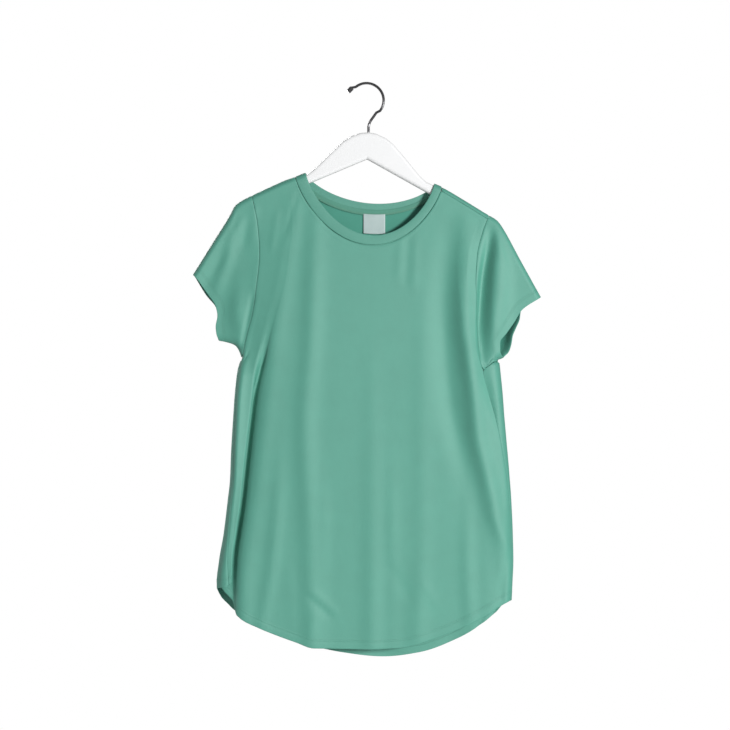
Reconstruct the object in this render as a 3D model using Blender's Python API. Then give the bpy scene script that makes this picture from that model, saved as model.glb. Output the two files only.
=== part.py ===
# A plain crew-neck t-shirt of cotton jersey on a flat plastic hanger with a wire hook.
# Sizes in the tables are millimetres. The shirt's front faces -Y and up is +Z.
# The origin is the top of the hook's inner curve, where a nail or a rail would hold it.
# "minus" and "plus" are the -X and +X halves. The wearer's right sleeve is at -X.

import math
from collections import namedtuple

import bmesh
import bpy
from mathutils import Vector

MM = 0.001

# Walls and gaps
CLOTH = 1.2
BAND_CLOTH = 1.6
LABEL_CLOTH = 1.0
SEAM_GAP = 0.42
SHOULDER_GAP = 0.8
BORE_GAP = 0.35

# A slope is taken over this reach to each side
SLOPE_REACH = 5.0

# The hanger, drawn level, with x out from its middle and depths down from the top of its hump
ArmRow = namedtuple("ArmRow", "x upper lower")
ARM = [
    ArmRow(0, 0.0, 39.8),
    ArmRow(12, 1.6, 45.6),
    ArmRow(26, 7.4, 52.5),
    ArmRow(38, 16.0, 58.3),
    ArmRow(57, 36.0, 67.6),
    ArmRow(70, 50.5, 73.9),
    ArmRow(80, 61.0, 78.8),
    ArmRow(89, 68.2, 83.2),
    ArmRow(100, 72.6, 88.5),
    ArmRow(110, 76.2, 93.4),
    ArmRow(120, 80.6, 98.3),
    ArmRow(143, 92.6, 109.5),
    ArmRow(160, 101.7, 117.8),
    ArmRow(178, 111.4, 126.6),
]
ARM_TIP_X = 178.6
ARM_TIP_DEPTH = 120.6
ARM_TIP_RADIUS = 6.5
ARM_THICKNESS = 12.0
ARM_EDGE = 4.5
ARM_EDGE_SEGMENTS = 3
ARM_TIP_FROM = 62
ARM_TIP_STEPS = 6
ARM_UNDER_X = (150, 110, 70, 35)
BORE_SIDES = 16
BORE_PAST = 15.0
SHARP_ANGLE = math.radians(50)
HUMP = Vector((2.95, 0.0, -70.9))
TILT = math.radians(3.2)

# The hook: a wire bent round a circle, with a plastic cap on its free end
WIRE = 3.9
HOOK_RADIUS = 25.3
HOOK_CENTRE_Z = -23.4
HOOK_TIP_ANGLE = 156
HOOK_LAST_ANGLE = -38
HOOK_FLARE_ANGLE = 130
HOOK_FLARE = 4.6
HOOK_STEPS = 22
HOOK_STEM = [(14.6, -41.6), (9.6, -48.6), (6.2, -53.4), (3.9, -58.2), (3.0, -62.6)]
# Down the bore, as depths below the hump's top, ending just short of the underside
HOOK_SHANK = (-2, 10, 25, 39)
CAP_DIAMETER = 7.0
CAP_LENGTH = 9.0
CapRow = namedtuple("CapRow", "along diameter")
CAP = [
    CapRow(0.0, 4.3),
    CapRow(0.9, 6.7),
    CapRow(2.0, CAP_DIAMETER),
    CapRow(CAP_LENGTH - 0.6, CAP_DIAMETER),
    CapRow(CAP_LENGTH, WIRE),
]

# Where the cloth lies over the arms, past this x, it bends round this radius, this far above
# the arm. The band stands a little higher, and eases out to the cloth's depth below the arms.
WRAP = 8.0
WRAP_FROM_X = 85.0
SEAT = 1.75
BAND_SEAT = 2.4
BAND_EASE = 0.5
BAND_EASE_FROM, BAND_EASE_TO = 8.0, 30.0

# The tops of the sleeves past the hanger's arms, out to the tips of the cuffs
TopRow = namedtuple("TopRow", "x z")
SLEEVE_TOP = [
    TopRow(-255.6, -280.9),
    TopRow(-226.8, -234.6),
    TopRow(-198.9, -189.2),
    TopRow(-194.2, -179.6),
    TopRow(192.6, -201.2),
    TopRow(198.4, -208.6),
    TopRow(227.2, -260.6),
    TopRow(256.7, -314.0),
]

# The neck: rings through the seam and through the band's free edge
NeckRing = namedtuple("NeckRing", "middle half_width front_drop back_drop")
NECK_SEAM = NeckRing(2.95, 107.7, 93.6, 46.6)
NECK_EDGE = NeckRing(5.2, 94.4, 84.0, 35.6)
NECK_ROUND = 1.5
SEAM_DROP_MINUS = 2.2
SEAM_DROP_PLUS = 5.6

# Outline of the body below the arms, the side seams' distance in from it, and half depths
BodyRow = namedtuple("BodyRow", "z minus plus seam_minus seam_plus")
BODY = [
    BodyRow(-404.2, -183.0, 194.6, 0.0, 0.0),
    BodyRow(-407.1, -184.9, 194.7, 0.6, 0.0),
    BodyRow(-409.5, -186.0, 195.3, 1.0, 8.6),
    BodyRow(-415.5, -188.2, 196.3, 1.5, 17.4),
    BodyRow(-422.6, -189.9, 197.2, 2.0, 26.5),
    BodyRow(-450.6, -193.3, 199.9, 3.0, 22.2),
    BodyRow(-497.8, -196.6, 203.6, 4.0, 12.9),
    BodyRow(-543.5, -199.4, 207.7, 5.4, 7.4),
    BodyRow(-582.0, -200.8, 210.9, 6.0, 4.4),
    BodyRow(-613.0, -204.2, 213.1, 6.4, 3.4),
    BodyRow(-664.5, -210.6, 215.4, 9.0, 2.6),
    BodyRow(-701.3, -217.0, 216.1, 13.6, 2.0),
    BodyRow(-734.0, -220.5, 214.8, 18.4, 1.6),
    BodyRow(-762.0, -219.5, 213.6, 19.0, 1.4),
]
SIDE_ROUND = 12.0
SIDE_ARC = 14.0
OUTLINE_END_Z = -900.0

DepthRow = namedtuple("DepthRow", "z front back")
DEPTH = [
    DepthRow(-130, 8.0, 8.0),
    DepthRow(-180, 8.6, 8.8),
    DepthRow(-240, 11.0, 10.5),
    DepthRow(-330, 15.0, 12.5),
    DepthRow(-420, 17.5, 13.5),
    DepthRow(-600, 18.5, 14.0),
    DepthRow(-850, 20.0, 15.0),
]
CUFF_DEPTH = 11.5
CUFF_REACH = 62.0

# Armhole seams, front and back
ArmholeRow = namedtuple("ArmholeRow", "z front back")
ARMHOLE_MINUS = [
    ArmholeRow(-165.0, -168.4, -168.4),
    ArmholeRow(-207.2, -160.0, -163.0),
    ArmholeRow(-250.0, -157.2, -160.0),
    ArmholeRow(-300.2, -162.0, -163.5),
    ArmholeRow(-336.4, -167.1, -168.5),
    ArmholeRow(-372.4, -176.6, -176.0),
    ArmholeRow(-404.2, -183.0, -183.0),
]
ARMHOLE_PLUS = [
    ArmholeRow(-192.4, 180.6, 180.6),
    ArmholeRow(-217.0, 171.0, 173.0),
    ArmholeRow(-252.5, 162.5, 166.5),
    ArmholeRow(-291.3, 160.3, 165.0),
    ArmholeRow(-317.9, 161.5, 166.5),
    ArmholeRow(-359.2, 163.0, 173.0),
    ArmholeRow(-392.0, 164.6, 184.0),
    ArmholeRow(-407.1, 166.4, 194.7),
    ArmholeRow(-422.6, 170.7, 194.7),
]

# Sleeve ends. Both halves run from the tip of the cuff down to the underarm.
EndPoint = namedtuple("EndPoint", "x z")
CUFF_MINUS_FRONT = [
    EndPoint(-255.6, -280.9),
    EndPoint(-247.5, -286.2),
    EndPoint(-221.0, -325.2),
    EndPoint(-218.9, -341.5),
    EndPoint(-221.9, -357.2),
    EndPoint(-220.9, -367.5),
    EndPoint(-217.6, -377.6),
]
CUFF_MINUS_BACK = [
    EndPoint(-255.6, -280.9),
    EndPoint(-237.5, -310.5),
    EndPoint(-222.4, -330.0),
    EndPoint(-219.6, -343.0),
    EndPoint(-220.6, -357.0),
    EndPoint(-219.8, -368.0),
    EndPoint(-217.6, -377.6),
]
UNDERARM_MINUS = [
    EndPoint(-184.2, -402.5),
    EndPoint(-185.2, -398.6),
    EndPoint(-193.0, -385.0),
    EndPoint(-206.5, -379.8),
    EndPoint(-217.6, -377.6),
]
CUFF_PLUS_FRONT = [
    EndPoint(256.7, -314.0),
    EndPoint(227.3, -334.1),
    EndPoint(218.7, -348.4),
    EndPoint(205.5, -367.3),
    EndPoint(196.0, -380.6),
    EndPoint(196.0, -392.8),
    EndPoint(199.4, -400.6),
    EndPoint(202.0, -402.6),
]
CUFF_PLUS_BACK = [
    EndPoint(256.7, -314.0),
    EndPoint(227.8, -334.6),
    EndPoint(226.3, -345.6),
    EndPoint(220.5, -359.8),
    EndPoint(216.0, -371.0),
    EndPoint(214.1, -383.3),
    EndPoint(210.2, -395.0),
    EndPoint(202.0, -402.6),
]
UNDERARM_PLUS = [
    EndPoint(194.9, -405.7),
    EndPoint(198.4, -404.1),
    EndPoint(202.0, -402.6),
]
ARMHOLE_CORNER_PLUS = [EndPoint(171.6, -420.9), EndPoint(177.6, -412.4), EndPoint(185.6, -406.0)]

# The front's pleat: its edge, how far it is folded under, and how deep
PleatRow = namedtuple("PleatRow", "z edge under depth")
PLEAT = [
    PleatRow(-150.0, -117.6, 0.0, 0.5),
    PleatRow(-207.2, -117.3, 0.0, 1.2),
    PleatRow(-251.5, -124.6, 0.0, 1.6),
    PleatRow(-295.7, -132.0, 0.0, 2.0),
    PleatRow(-340.0, -143.8, 0.0, 2.4),
    PleatRow(-384.2, -152.7, 0.0, 3.4),
    PleatRow(-418.2, -160.0, 0.6, 5.0),
    PleatRow(-472.7, -166.8, 3.0, 7.4),
    PleatRow(-555.3, -176.3, 6.0, 8.0),
    PleatRow(-617.3, -182.9, 9.5, 8.0),
    PleatRow(-658.6, -189.5, 12.0, 8.0),
    PleatRow(-697.0, -195.4, 14.0, 8.0),
    PleatRow(-733.0, -197.6, 16.5, 8.0),
]
# Across the pleat, from its edge to the cloth beside it: place when flat, place when
# folded (as a share of the fold and in millimetres), and share of the depth
FoldColumn = namedtuple("FoldColumn", "flat fold_share fold_shift depth_share")
FOLD_COLUMNS = [
    FoldColumn(-1.0, 0.0, -1.2, 0.0),
    FoldColumn(0.6, 0.0, 0.2, 0.17),
    FoldColumn(2.2, -0.04, -1.0, 0.34),
    FoldColumn(3.8, -0.92, 0.4, 0.62),
    FoldColumn(5.4, -1.0, -0.6, 0.80),
    FoldColumn(7.0, -0.92, 1.0, 0.97),
    FoldColumn(9.0, 0.0, 1.6, 1.0),
    FoldColumn(14.0, 0.0, 9.0, 0.55),
]
# The columns stand closer near the neck, and the pleat begins to close between these heights
PLEAT_NARROW_Z, PLEAT_WIDE_Z = -150.0, -290.0
PLEAT_NARROWED = 0.5
PLEAT_FLAT_Z, PLEAT_SHUT_Z = -400.0, -470.0

# Hems: height of the cut edge by its place across
HemRow = namedtuple("HemRow", "x z")
HEM_FRONT = [
    HemRow(-214.8, -740.0),
    HemRow(-206.0, -750.5),
    HemRow(-196.9, -759.2),
    HemRow(-190.1, -780.4),
    HemRow(-154.1, -800.2),
    HemRow(-102.5, -820.0),
    HemRow(-77.4, -828.0),
    HemRow(5.9, -829.7),
    HemRow(46.5, -828.1),
    HemRow(91.6, -816.9),
    HemRow(133.5, -801.0),
    HemRow(174.2, -781.0),
    HemRow(206.1, -761.5),
    HemRow(214.0, -758.6),
]
HEM_BACK = [
    HemRow(-220.5, -743.5),
    HemRow(-215.6, -757.0),
    HemRow(-205.5, -768.5),
    HemRow(-190.1, -782.0),
    HemRow(-140.0, -810.0),
    HemRow(-77.4, -831.6),
    HemRow(-36.1, -840.0),
    HemRow(25.8, -846.3),
    HemRow(77.4, -840.0),
    HemRow(136.4, -818.8),
    HemRow(187.3, -785.0),
    HemRow(206.1, -765.5),
    HemRow(214.0, -759.4),
]
STRIP_HEM_SEAM = -735.6
STRIP_HEM_EDGE = -733.4

# Soft folds: a crest runs through three points, with its height at each and its half width.
# It starts this far above its top, and keeps part of its height this far below its low end.
FOLD_START = 45.0
FOLD_TAIL = 60.0
FOLD_TAIL_SHARE = 0.7
# Folds grow between these distances below the ridge
FOLD_CLEAR, FOLD_FULL = 4.0, 26.0
Fold = namedtuple("Fold", "top middle low top_x middle_x low_x rise_top rise rise_low width")
FRONT_FOLDS = [
    Fold(-190, -400, -735, -106, -137, -180, 1.5, 1.5, 2.0, 13),
    Fold(-330, -520, -790, -111, -119, -144, 0.3, 0.6, 1.2, 9),
    Fold(-250, -470, -800, -73, -70, -62, 0.6, 1.7, 1.8, 22),
    Fold(-330, -560, -800, 20, 21, 15, 0.4, 1.3, 1.2, 19),
    Fold(-280, -520, -800, 92, 94, 97, 1.0, 1.4, 1.2, 15),
    Fold(-200, -400, -660, 150, 150, 192, 2.0, 5.6, 0.6, 15),
    Fold(-580, -690, -790, 148, 148, 154, 0.2, 2.4, 2.4, 15),
    Fold(-205, -300, -400, 192, 192, 184, 4.0, 4.6, 2.0, 13),
    Fold(-205, -290, -380, -180, -196, -178, 2.0, 2.6, 1.2, 15),
]
BACK_FOLDS = [
    Fold(-230, -420, -760, -122, -128, -150, 1.2, 3.0, 1.6, 20),
    Fold(-260, -500, -820, -52, -46, -58, 0.6, 1.8, 1.8, 24),
    Fold(-240, -520, -820, 24, 34, 28, 0.6, 1.4, 1.6, 22),
    Fold(-220, -430, -800, 118, 112, 128, 1.4, 3.2, 1.6, 20),
    Fold(-210, -300, -400, 190, 196, 186, 1.5, 2.4, 1.0, 15),
    Fold(-205, -290, -380, -186, -198, -184, 1.5, 2.2, 1.0, 15),
]

# The label, sewn into the back of the neck seam
LABEL_MIDDLE = 11.5
LABEL_WIDTH = 32.3
LABEL_HEIGHT = 29.0
LABEL_TOP_DROP = 0.8
LABEL_COLUMNS = 5
LABEL_ROWS = 4

FRONT, BACK = -1, 1


def read(rows, column, place):
    """Smooth curve, with no overshoot, through one column of a table by its first column."""
    points = sorted((row[0], getattr(row, column)) for row in rows)
    if place <= points[0][0]:
        return points[0][1]
    if place >= points[-1][0]:
        return points[-1][1]
    k = max(i for i in range(len(points) - 1) if points[i][0] <= place)

    def steepness(i):
        return (points[i + 1][1] - points[i][1]) / (points[i + 1][0] - points[i][0])

    def tangent(i):
        if i == 0 or i == len(points) - 1:
            return steepness(min(i, len(points) - 2))
        before, after = steepness(i - 1), steepness(i)
        return 0.0 if before * after <= 0 else 2 * before * after / (before + after)

    (x0, y0), (x1, y1) = points[k], points[k + 1]
    span = x1 - x0
    t = (place - x0) / span
    return (
        y0 * (1 + 2 * t) * (1 - t) ** 2
        + tangent(k) * span * t * (1 - t) ** 2
        + y1 * t * t * (3 - 2 * t)
        + tangent(k + 1) * span * t * t * (t - 1)
    )


def mix(a, b, share):
    return a + (b - a) * share


def ease(value, start, end):
    t = min(1.0, max(0.0, (value - start) / (end - start)))
    return t * t * (3 - 2 * t)


def evenly(points, share):
    """The place at a share of the length along a chain of points."""
    lengths = [math.dist(a, b) for a, b in zip(points, points[1:])]
    left = share * sum(lengths)
    for a, b, length in zip(points, points[1:], lengths):
        if left <= length:
            return (mix(a[0], b[0], left / length), mix(a[1], b[1], left / length))
        left -= length
    return (points[-1][0], points[-1][1])


def hung(x, depth, lift=0.0):
    """World place of a point of the level hanger, with the tilt that it hangs at."""
    z = lift - depth
    return (
        HUMP.x + x * math.cos(TILT) + z * math.sin(TILT),
        HUMP.z - x * math.sin(TILT) + z * math.cos(TILT),
    )


def ridge_rows(seat):
    """The line along the cloth's top: over the arms, and on along both sleeves."""
    rows = [row for row in SLEEVE_TOP]
    for row in ARM:
        if row.x < WRAP_FROM_X:
            continue
        for side in (-1, 1):
            rise = read(ARM, "upper", row.x + SLOPE_REACH) - read(ARM, "upper", row.x - SLOPE_REACH)
            slope = math.atan2(rise, 2 * SLOPE_REACH)
            rows.append(TopRow(*hung(side * row.x, row.upper, seat / math.cos(slope))))
    return sorted(rows)


RIDGE = ridge_rows(SEAT)
BAND_RIDGE = ridge_rows(BAND_SEAT)


def neck_ends(ring, ridge):
    minus = ring.middle - ring.half_width
    plus = ring.middle + ring.half_width
    return (minus, read(ridge, "z", minus)), (plus, read(ridge, "z", plus))


NECK_MINUS, NECK_PLUS = neck_ends(NECK_SEAM, RIDGE)


def top_line(x):
    """Height of the cloth's top at x, taken straight across the neck."""
    if NECK_MINUS[0] < x < NECK_PLUS[0]:
        share = (x - NECK_MINUS[0]) / (NECK_PLUS[0] - NECK_MINUS[0])
        return mix(NECK_MINUS[1], NECK_PLUS[1], share)
    return read(RIDGE, "z", x)


def lean(x):
    """Cosine of the top line's slope at x."""
    rise = top_line(x + SLOPE_REACH) - top_line(x - SLOPE_REACH)
    return 1 / math.hypot(1, rise / (2 * SLOPE_REACH))


def wrap_drop(arc):
    """How far below the ridge the cloth is, this far along it."""
    if arc < WRAP * math.pi / 2:
        return WRAP * (1 - math.cos(arc / WRAP))
    return WRAP + arc - WRAP * math.pi / 2


def wrap_arc(drop):
    if drop < WRAP:
        return WRAP * math.acos(1 - drop / WRAP)
    return WRAP * math.pi / 2 + drop - WRAP


def wrap_share(drop):
    """How much of its full depth the cloth has, this far below the ridge."""
    return 1.0 if drop >= WRAP else math.sqrt(max(0.0, 1 - (1 - drop / WRAP) ** 2))


def side_inset(arc):
    """How far in from the outline the cloth is, this far round a side."""
    if arc < SIDE_ARC * math.pi / 2:
        return SIDE_ROUND * (1 - math.cos(arc / SIDE_ARC))
    return SIDE_ROUND + arc - SIDE_ARC * math.pi / 2


def side_arc(inset):
    if inset < SIDE_ROUND:
        return SIDE_ARC * math.acos(1 - inset / SIDE_ROUND)
    return SIDE_ARC * math.pi / 2 + inset - SIDE_ROUND


def side_share(inset):
    if inset >= SIDE_ROUND:
        return 1.0
    return math.sqrt(max(0.0, 1 - (1 - max(0.0, inset) / SIDE_ROUND) ** 2))


def outline_chain(side):
    """The lower edge of a sleeve and then the side of the body, as one chain."""
    under = UNDERARM_MINUS if side < 0 else UNDERARM_PLUS
    column = "minus" if side < 0 else "plus"
    chain = [tuple(point) for point in reversed(under)]
    chain += [(getattr(row, column), row.z) for row in BODY if row.z < chain[-1][1]]
    chain.append((chain[-1][0], OUTLINE_END_Z))
    return chain


OUTLINE = {side: outline_chain(side) for side in (-1, 1)}


def outline_distance(x, z):
    place = Vector((x, z))
    nearest = 1e9
    chain = OUTLINE[-1 if x < 0 else 1]
    for a, b in zip(chain, chain[1:]):
        start, way = Vector(a), Vector(b) - Vector(a)
        share = min(1.0, max(0.0, (place - start).dot(way) / way.length_squared))
        nearest = min(nearest, (start + way * share - place).length)
    return nearest


def armhole_x(side, face, z):
    return read(ARMHOLE_MINUS if side < 0 else ARMHOLE_PLUS, "front" if face < 0 else "back", z)


def half_depth(x, z, face):
    body = read(DEPTH, "front" if face < 0 else "back", z)
    side = -1 if x < 0 else 1
    beyond = side * (x - armhole_x(side, face, z))
    return mix(body, CUFF_DEPTH, ease(beyond, 0, CUFF_REACH))


def relief(x, z, face):
    """Height of the soft folds at a place."""
    height = 0.0
    for fold in FRONT_FOLDS if face < 0 else BACK_FOLDS:
        run = [
            TopRow(fold.top, fold.top_x),
            TopRow(fold.middle, fold.middle_x),
            TopRow(fold.low, fold.low_x),
        ]
        rise = [
            TopRow(fold.top + FOLD_START, 0.0),
            TopRow(fold.top, fold.rise_top),
            TopRow(fold.middle, fold.rise),
            TopRow(fold.low, fold.rise_low),
            TopRow(fold.low - FOLD_TAIL, FOLD_TAIL_SHARE * fold.rise_low),
        ]
        away = (x - read(run, "z", z)) / fold.width
        if abs(away) < 3:
            height += read(rise, "z", z) * math.exp(-away * away)
    return height


def cloth_point(x, z, face, inset=None, sunk=0.0):
    """A point of the cloth's middle surface, in millimetres."""
    drop = max(0.0, (top_line(x) - z) * lean(x))
    rounding = side_share(outline_distance(x, z) if inset is None else inset)
    share = wrap_share(drop) * rounding
    depth = half_depth(x, z, face) + relief(x, z, face) * ease(drop, FOLD_CLEAR, FOLD_FULL) - sunk
    return Vector((x, face * share * depth, z))


def material(name, colour, roughness, metallic=0.0):
    made = bpy.data.materials.new(name)
    made.use_nodes = True
    shader = made.node_tree.nodes["Principled BSDF"]
    shader.inputs["Base Color"].default_value = (*colour, 1.0)
    shader.inputs["Roughness"].default_value = roughness
    shader.inputs["Metallic"].default_value = metallic
    return made


def add_object(name, data, finish):
    made = bpy.data.objects.new(name, data)
    data.materials.append(finish)
    bpy.context.scene.collection.objects.link(made)
    return made


def sheet_object(name, columns, thickness, finish, closed=False):
    """Cloth from columns of points, each running down the piece. None is beyond its edge."""
    bm = bmesh.new()
    lines = [[point and bm.verts.new(point * MM) for point in column] for column in columns]
    if closed:
        lines.append(lines[0])
    for near, far in zip(lines, lines[1:]):
        for k in range(len(near) - 1):
            corners = (near[k], near[k + 1], far[k + 1], far[k])
            if all(corners):
                bm.faces.new(corners)
    bmesh.ops.remove_doubles(bm, verts=bm.verts, dist=0.01 * MM)
    mesh = bpy.data.meshes.new(name)
    bm.to_mesh(mesh)
    bm.free()
    mesh.shade_smooth()
    made = add_object(name, mesh, finish)
    wall = made.modifiers.new("wall", "SOLIDIFY")
    wall.thickness = thickness * MM
    wall.offset = 0.0
    wall.use_even_offset = True
    return made


# Rows down a panel: shares of the way from the top to the armpits, and on to the hem
UPPER_ROWS = [0, 0.016, 0.032, 0.05, 0.075, 0.12, 0.2, 0.32, 0.46, 0.6, 0.74, 0.87, 0.95, 1]
LOWER_ROWS = [0.018, 0.04, 0.08, 0.15, 0.25, 0.36, 0.48, 0.6, 0.72, 0.84, 0.95, 1]

ARMPIT_MINUS_Z = -404.2
ARMPIT_PLUS_Z = -407.1
FRONT_ARMPIT_PLUS_Z = -422.6
# Heights at which a column's place across is read, to give its armpit and its hem
FRONT_UNDERARM_Z, BACK_UNDERARM_Z = -413.0, -405.0
FRONT_HEM_Z, BACK_HEM_Z, SIDE_HEM_Z = -770.0, -820.0, -745.0
# Columns that start at the neck or a shoulder are spread evenly from here down
SPREAD_Z = -440.0

# Columns beside the side seams: how many steps, and how far in they reach along the cloth
STRIP_STEPS = 5
FRONT_EDGE_STEPS = 3
FRONT_EDGE_PITCH = 8.0
FRONT_EDGE_ARC = 24.0
FRONT_EDGE_PAST_SEAM = 14.0
BACK_EDGE_STEPS = 5
BACK_EDGE_ARC = 24.0
TURNED_STEPS = 3
# How much closer the front's columns stand on the plus side, where the deepest fold is
CROWDING = 0.28
# A column beside the neck starts at the first row within this distance of the seam
STEP_SLACK = 1.5
# Passes that settle a point's place across, which depends on its height
SETTLE_PASSES = 4

# A place on a panel: x, its inset round the side, whether it is round on the other face,
# and how far it is sunk behind the cloth's face
Spot = namedtuple("Spot", "x inset turned sunk", defaults=(None, False, 0.0))


def panel_column(route, start_arc, shoulder, face, armpit_z, hem_z, stepped=False):
    """One column of a panel, from its top edge down to the hem. Rows lie at the same
    distances over the ridge all across, and those above the neck seam meet at the seam,
    or are left out where the edge crosses the ridge beside a stepped column."""
    armpit_x = route(armpit_z).x
    end_arc = wrap_arc((top_line(armpit_x) - armpit_z) * lean(armpit_x))
    x = route(read([TopRow(*NECK_MINUS), TopRow(*NECK_PLUS)], "z", armpit_x)).x
    points = []
    for share in UPPER_ROWS:
        arc = mix(shoulder, end_arc, share)
        if stepped and arc < start_arc - STEP_SLACK:
            points.append(None)
            continue
        arc = max(start_arc, arc)
        for _ in range(SETTLE_PASSES):
            z = top_line(x) - wrap_drop(abs(arc)) / lean(x)
            spot = route(z)
            x = spot.x
        points.append(spot_point(spot, z, face if arc >= 0 else -face))
    for share in LOWER_ROWS:
        z = mix(armpit_z, hem_z, share)
        points.append(spot_point(route(z), z, face))
    return points


def spot_point(spot, z, face):
    return cloth_point(spot.x, z, -face if spot.turned else face, spot.inset, spot.sunk)


def shoulder_arc(side):
    """How far forward of the ridge the shoulder seam is, along the cloth."""
    return wrap_arc(SEAM_DROP_MINUS if side < 0 else SEAM_DROP_PLUS)


def ring_drop(ring, angle, face):
    depth = ring.front_drop if face < 0 else ring.back_drop
    return depth * abs(math.sin(angle)) ** NECK_ROUND


def ring_x(ring, angle):
    return ring.middle - ring.half_width * math.cos(angle)


def ring_angle(ring, drop, face):
    """The angle from the ring's end at which it has dropped this far."""
    depth = ring.front_drop if face < 0 else ring.back_drop
    return math.asin((drop / depth) ** (1 / NECK_ROUND))


PANEL_RING = NECK_SEAM._replace(
    half_width=NECK_SEAM.half_width + SEAM_GAP / 2,
    front_drop=NECK_SEAM.front_drop + SEAM_GAP / 2,
    back_drop=NECK_SEAM.back_drop + SEAM_GAP / 2,
)
BAND_RING = NECK_SEAM._replace(
    half_width=NECK_SEAM.half_width - SEAM_GAP / 2,
    front_drop=NECK_SEAM.front_drop - SEAM_GAP / 2,
    back_drop=NECK_SEAM.back_drop - SEAM_GAP / 2,
)
SHOULDER_MINUS = [-142.0, -124.0, -113.0]
SHOULDER_PLUS = [122.0, 136.0, 150.0]
FRONT_NECK_STEPS = 18
BACK_NECK_STEPS = 10
BACK_NECK_START = math.radians(10)


def neck_angles(face):
    if face < 0:
        first = ring_angle(NECK_SEAM, SEAM_DROP_MINUS, FRONT)
        last = math.pi - ring_angle(NECK_SEAM, SEAM_DROP_PLUS, FRONT)
        steps = FRONT_NECK_STEPS
    else:
        first, last, steps = BACK_NECK_START, math.pi - BACK_NECK_START, BACK_NECK_STEPS
    return [mix(first, last, k / steps) for k in range(steps + 1)]


def spread_route(start_x, start_z, low_share, left_edge, right_edge):
    """A column that starts at a given place and spreads to its share of the panel's width."""
    left, right = left_edge(start_z).x, right_edge(start_z).x
    top_share = (start_x - left) / (right - left)

    def route(z):
        share = mix(top_share, low_share, ease(z, start_z, SPREAD_Z))
        return Spot(mix(left_edge(z).x, right_edge(z).x, share))

    return route


def front_panel(finish):
    def strip(step):
        def route(z):
            edge = read(PLEAT, "edge", z) + FOLD_COLUMNS[0].fold_shift
            share = step / STRIP_STEPS
            if z >= ARMPIT_MINUS_Z:
                seam = armhole_x(-1, FRONT, z) + SEAM_GAP / 2
                return Spot(mix(seam, edge, share))
            outline = read(BODY, "minus", z)
            seam_arc = side_arc(read(BODY, "seam_minus", z)) + SEAM_GAP / 2
            inset = side_inset(mix(seam_arc, side_arc(edge - outline), share))
            return Spot(outline + inset, inset)

        return route

    def folded(column):
        def route(z):
            edge, under, depth = (read(PLEAT, name, z) for name in ("edge", "under", "depth"))
            flat = column.flat * mix(PLEAT_NARROWED, 1.0, ease(z, PLEAT_NARROW_Z, PLEAT_WIDE_Z))
            shut = column.fold_share * under + column.fold_shift
            x = edge + mix(flat, shut, ease(z, PLEAT_FLAT_Z, PLEAT_SHUT_Z))
            inset = x - read(BODY, "minus", z) if z < ARMPIT_MINUS_Z else None
            return Spot(x, inset, False, depth * column.depth_share)

        return route

    def plus_edge(step):
        def route(z):
            if z >= FRONT_ARMPIT_PLUS_Z:
                arc = step * FRONT_EDGE_PITCH
                seam = armhole_x(1, FRONT, z) - SEAM_GAP / 2
                return Spot(seam - side_inset(arc))
            seam_arc = side_arc(read(BODY, "seam_plus", z)) + SEAM_GAP / 2
            inner_arc = max(FRONT_EDGE_ARC, seam_arc + FRONT_EDGE_PAST_SEAM)
            inset = side_inset(mix(seam_arc, inner_arc, step / FRONT_EDGE_STEPS))
            return Spot(read(BODY, "plus", z) - inset, inset)

        return route

    def armpit_z(route):
        x = route(FRONT_UNDERARM_Z).x
        share = (x - BODY[0].minus) / (ARMHOLE_PLUS[-1].front - BODY[0].minus)
        return mix(ARMPIT_MINUS_Z, FRONT_ARMPIT_PLUS_Z, min(1.0, max(0.0, share)))

    def add(route, arc, hem_z=None):
        if hem_z is None:
            hem_z = read(HEM_FRONT, "z", route(FRONT_HEM_Z).x)
        shoulder = minus_arc if route(FRONT_UNDERARM_Z).x < 0 else plus_arc
        columns.append(panel_column(route, arc, shoulder, FRONT, armpit_z(route), hem_z))

    columns = []
    minus_arc = shoulder_arc(-1) + SHOULDER_GAP / 2
    plus_arc = shoulder_arc(1) + SHOULDER_GAP / 2
    for step in range(STRIP_STEPS):
        add(strip(step), minus_arc, mix(STRIP_HEM_SEAM, STRIP_HEM_EDGE, step / STRIP_STEPS))
    for column in FOLD_COLUMNS:
        before_crease = column.fold_shift < 0 or column.fold_share < -0.95
        hidden = mix(STRIP_HEM_EDGE, HEM_FRONT[0].z, -column.fold_share)
        add(folded(column), minus_arc, hidden if before_crease else None)
    left, right = folded(FOLD_COLUMNS[-1]), plus_edge(FRONT_EDGE_STEPS)
    starts = [(NECK_MINUS[0] - SEAM_GAP / 2, minus_arc)]
    for angle in neck_angles(FRONT):
        starts.append((ring_x(PANEL_RING, angle), wrap_arc(ring_drop(PANEL_RING, angle, FRONT))))
    starts.append((NECK_PLUS[0] + SEAM_GAP / 2, plus_arc))
    starts += [(x, plus_arc) for x in SHOULDER_PLUS]
    for k, (x, arc) in enumerate(starts):
        z = top_line(x) - wrap_drop(arc) / lean(x)
        low_share = crowded((k + 1) / (len(starts) + 1))
        add(spread_route(x, z, low_share, left, right), arc)
    for step in range(FRONT_EDGE_STEPS, -1, -1):
        add(plus_edge(step), plus_arc)
    return sheet_object("front", columns, CLOTH, finish)


def crowded(share):
    return share + CROWDING * share * (1 - share)


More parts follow.
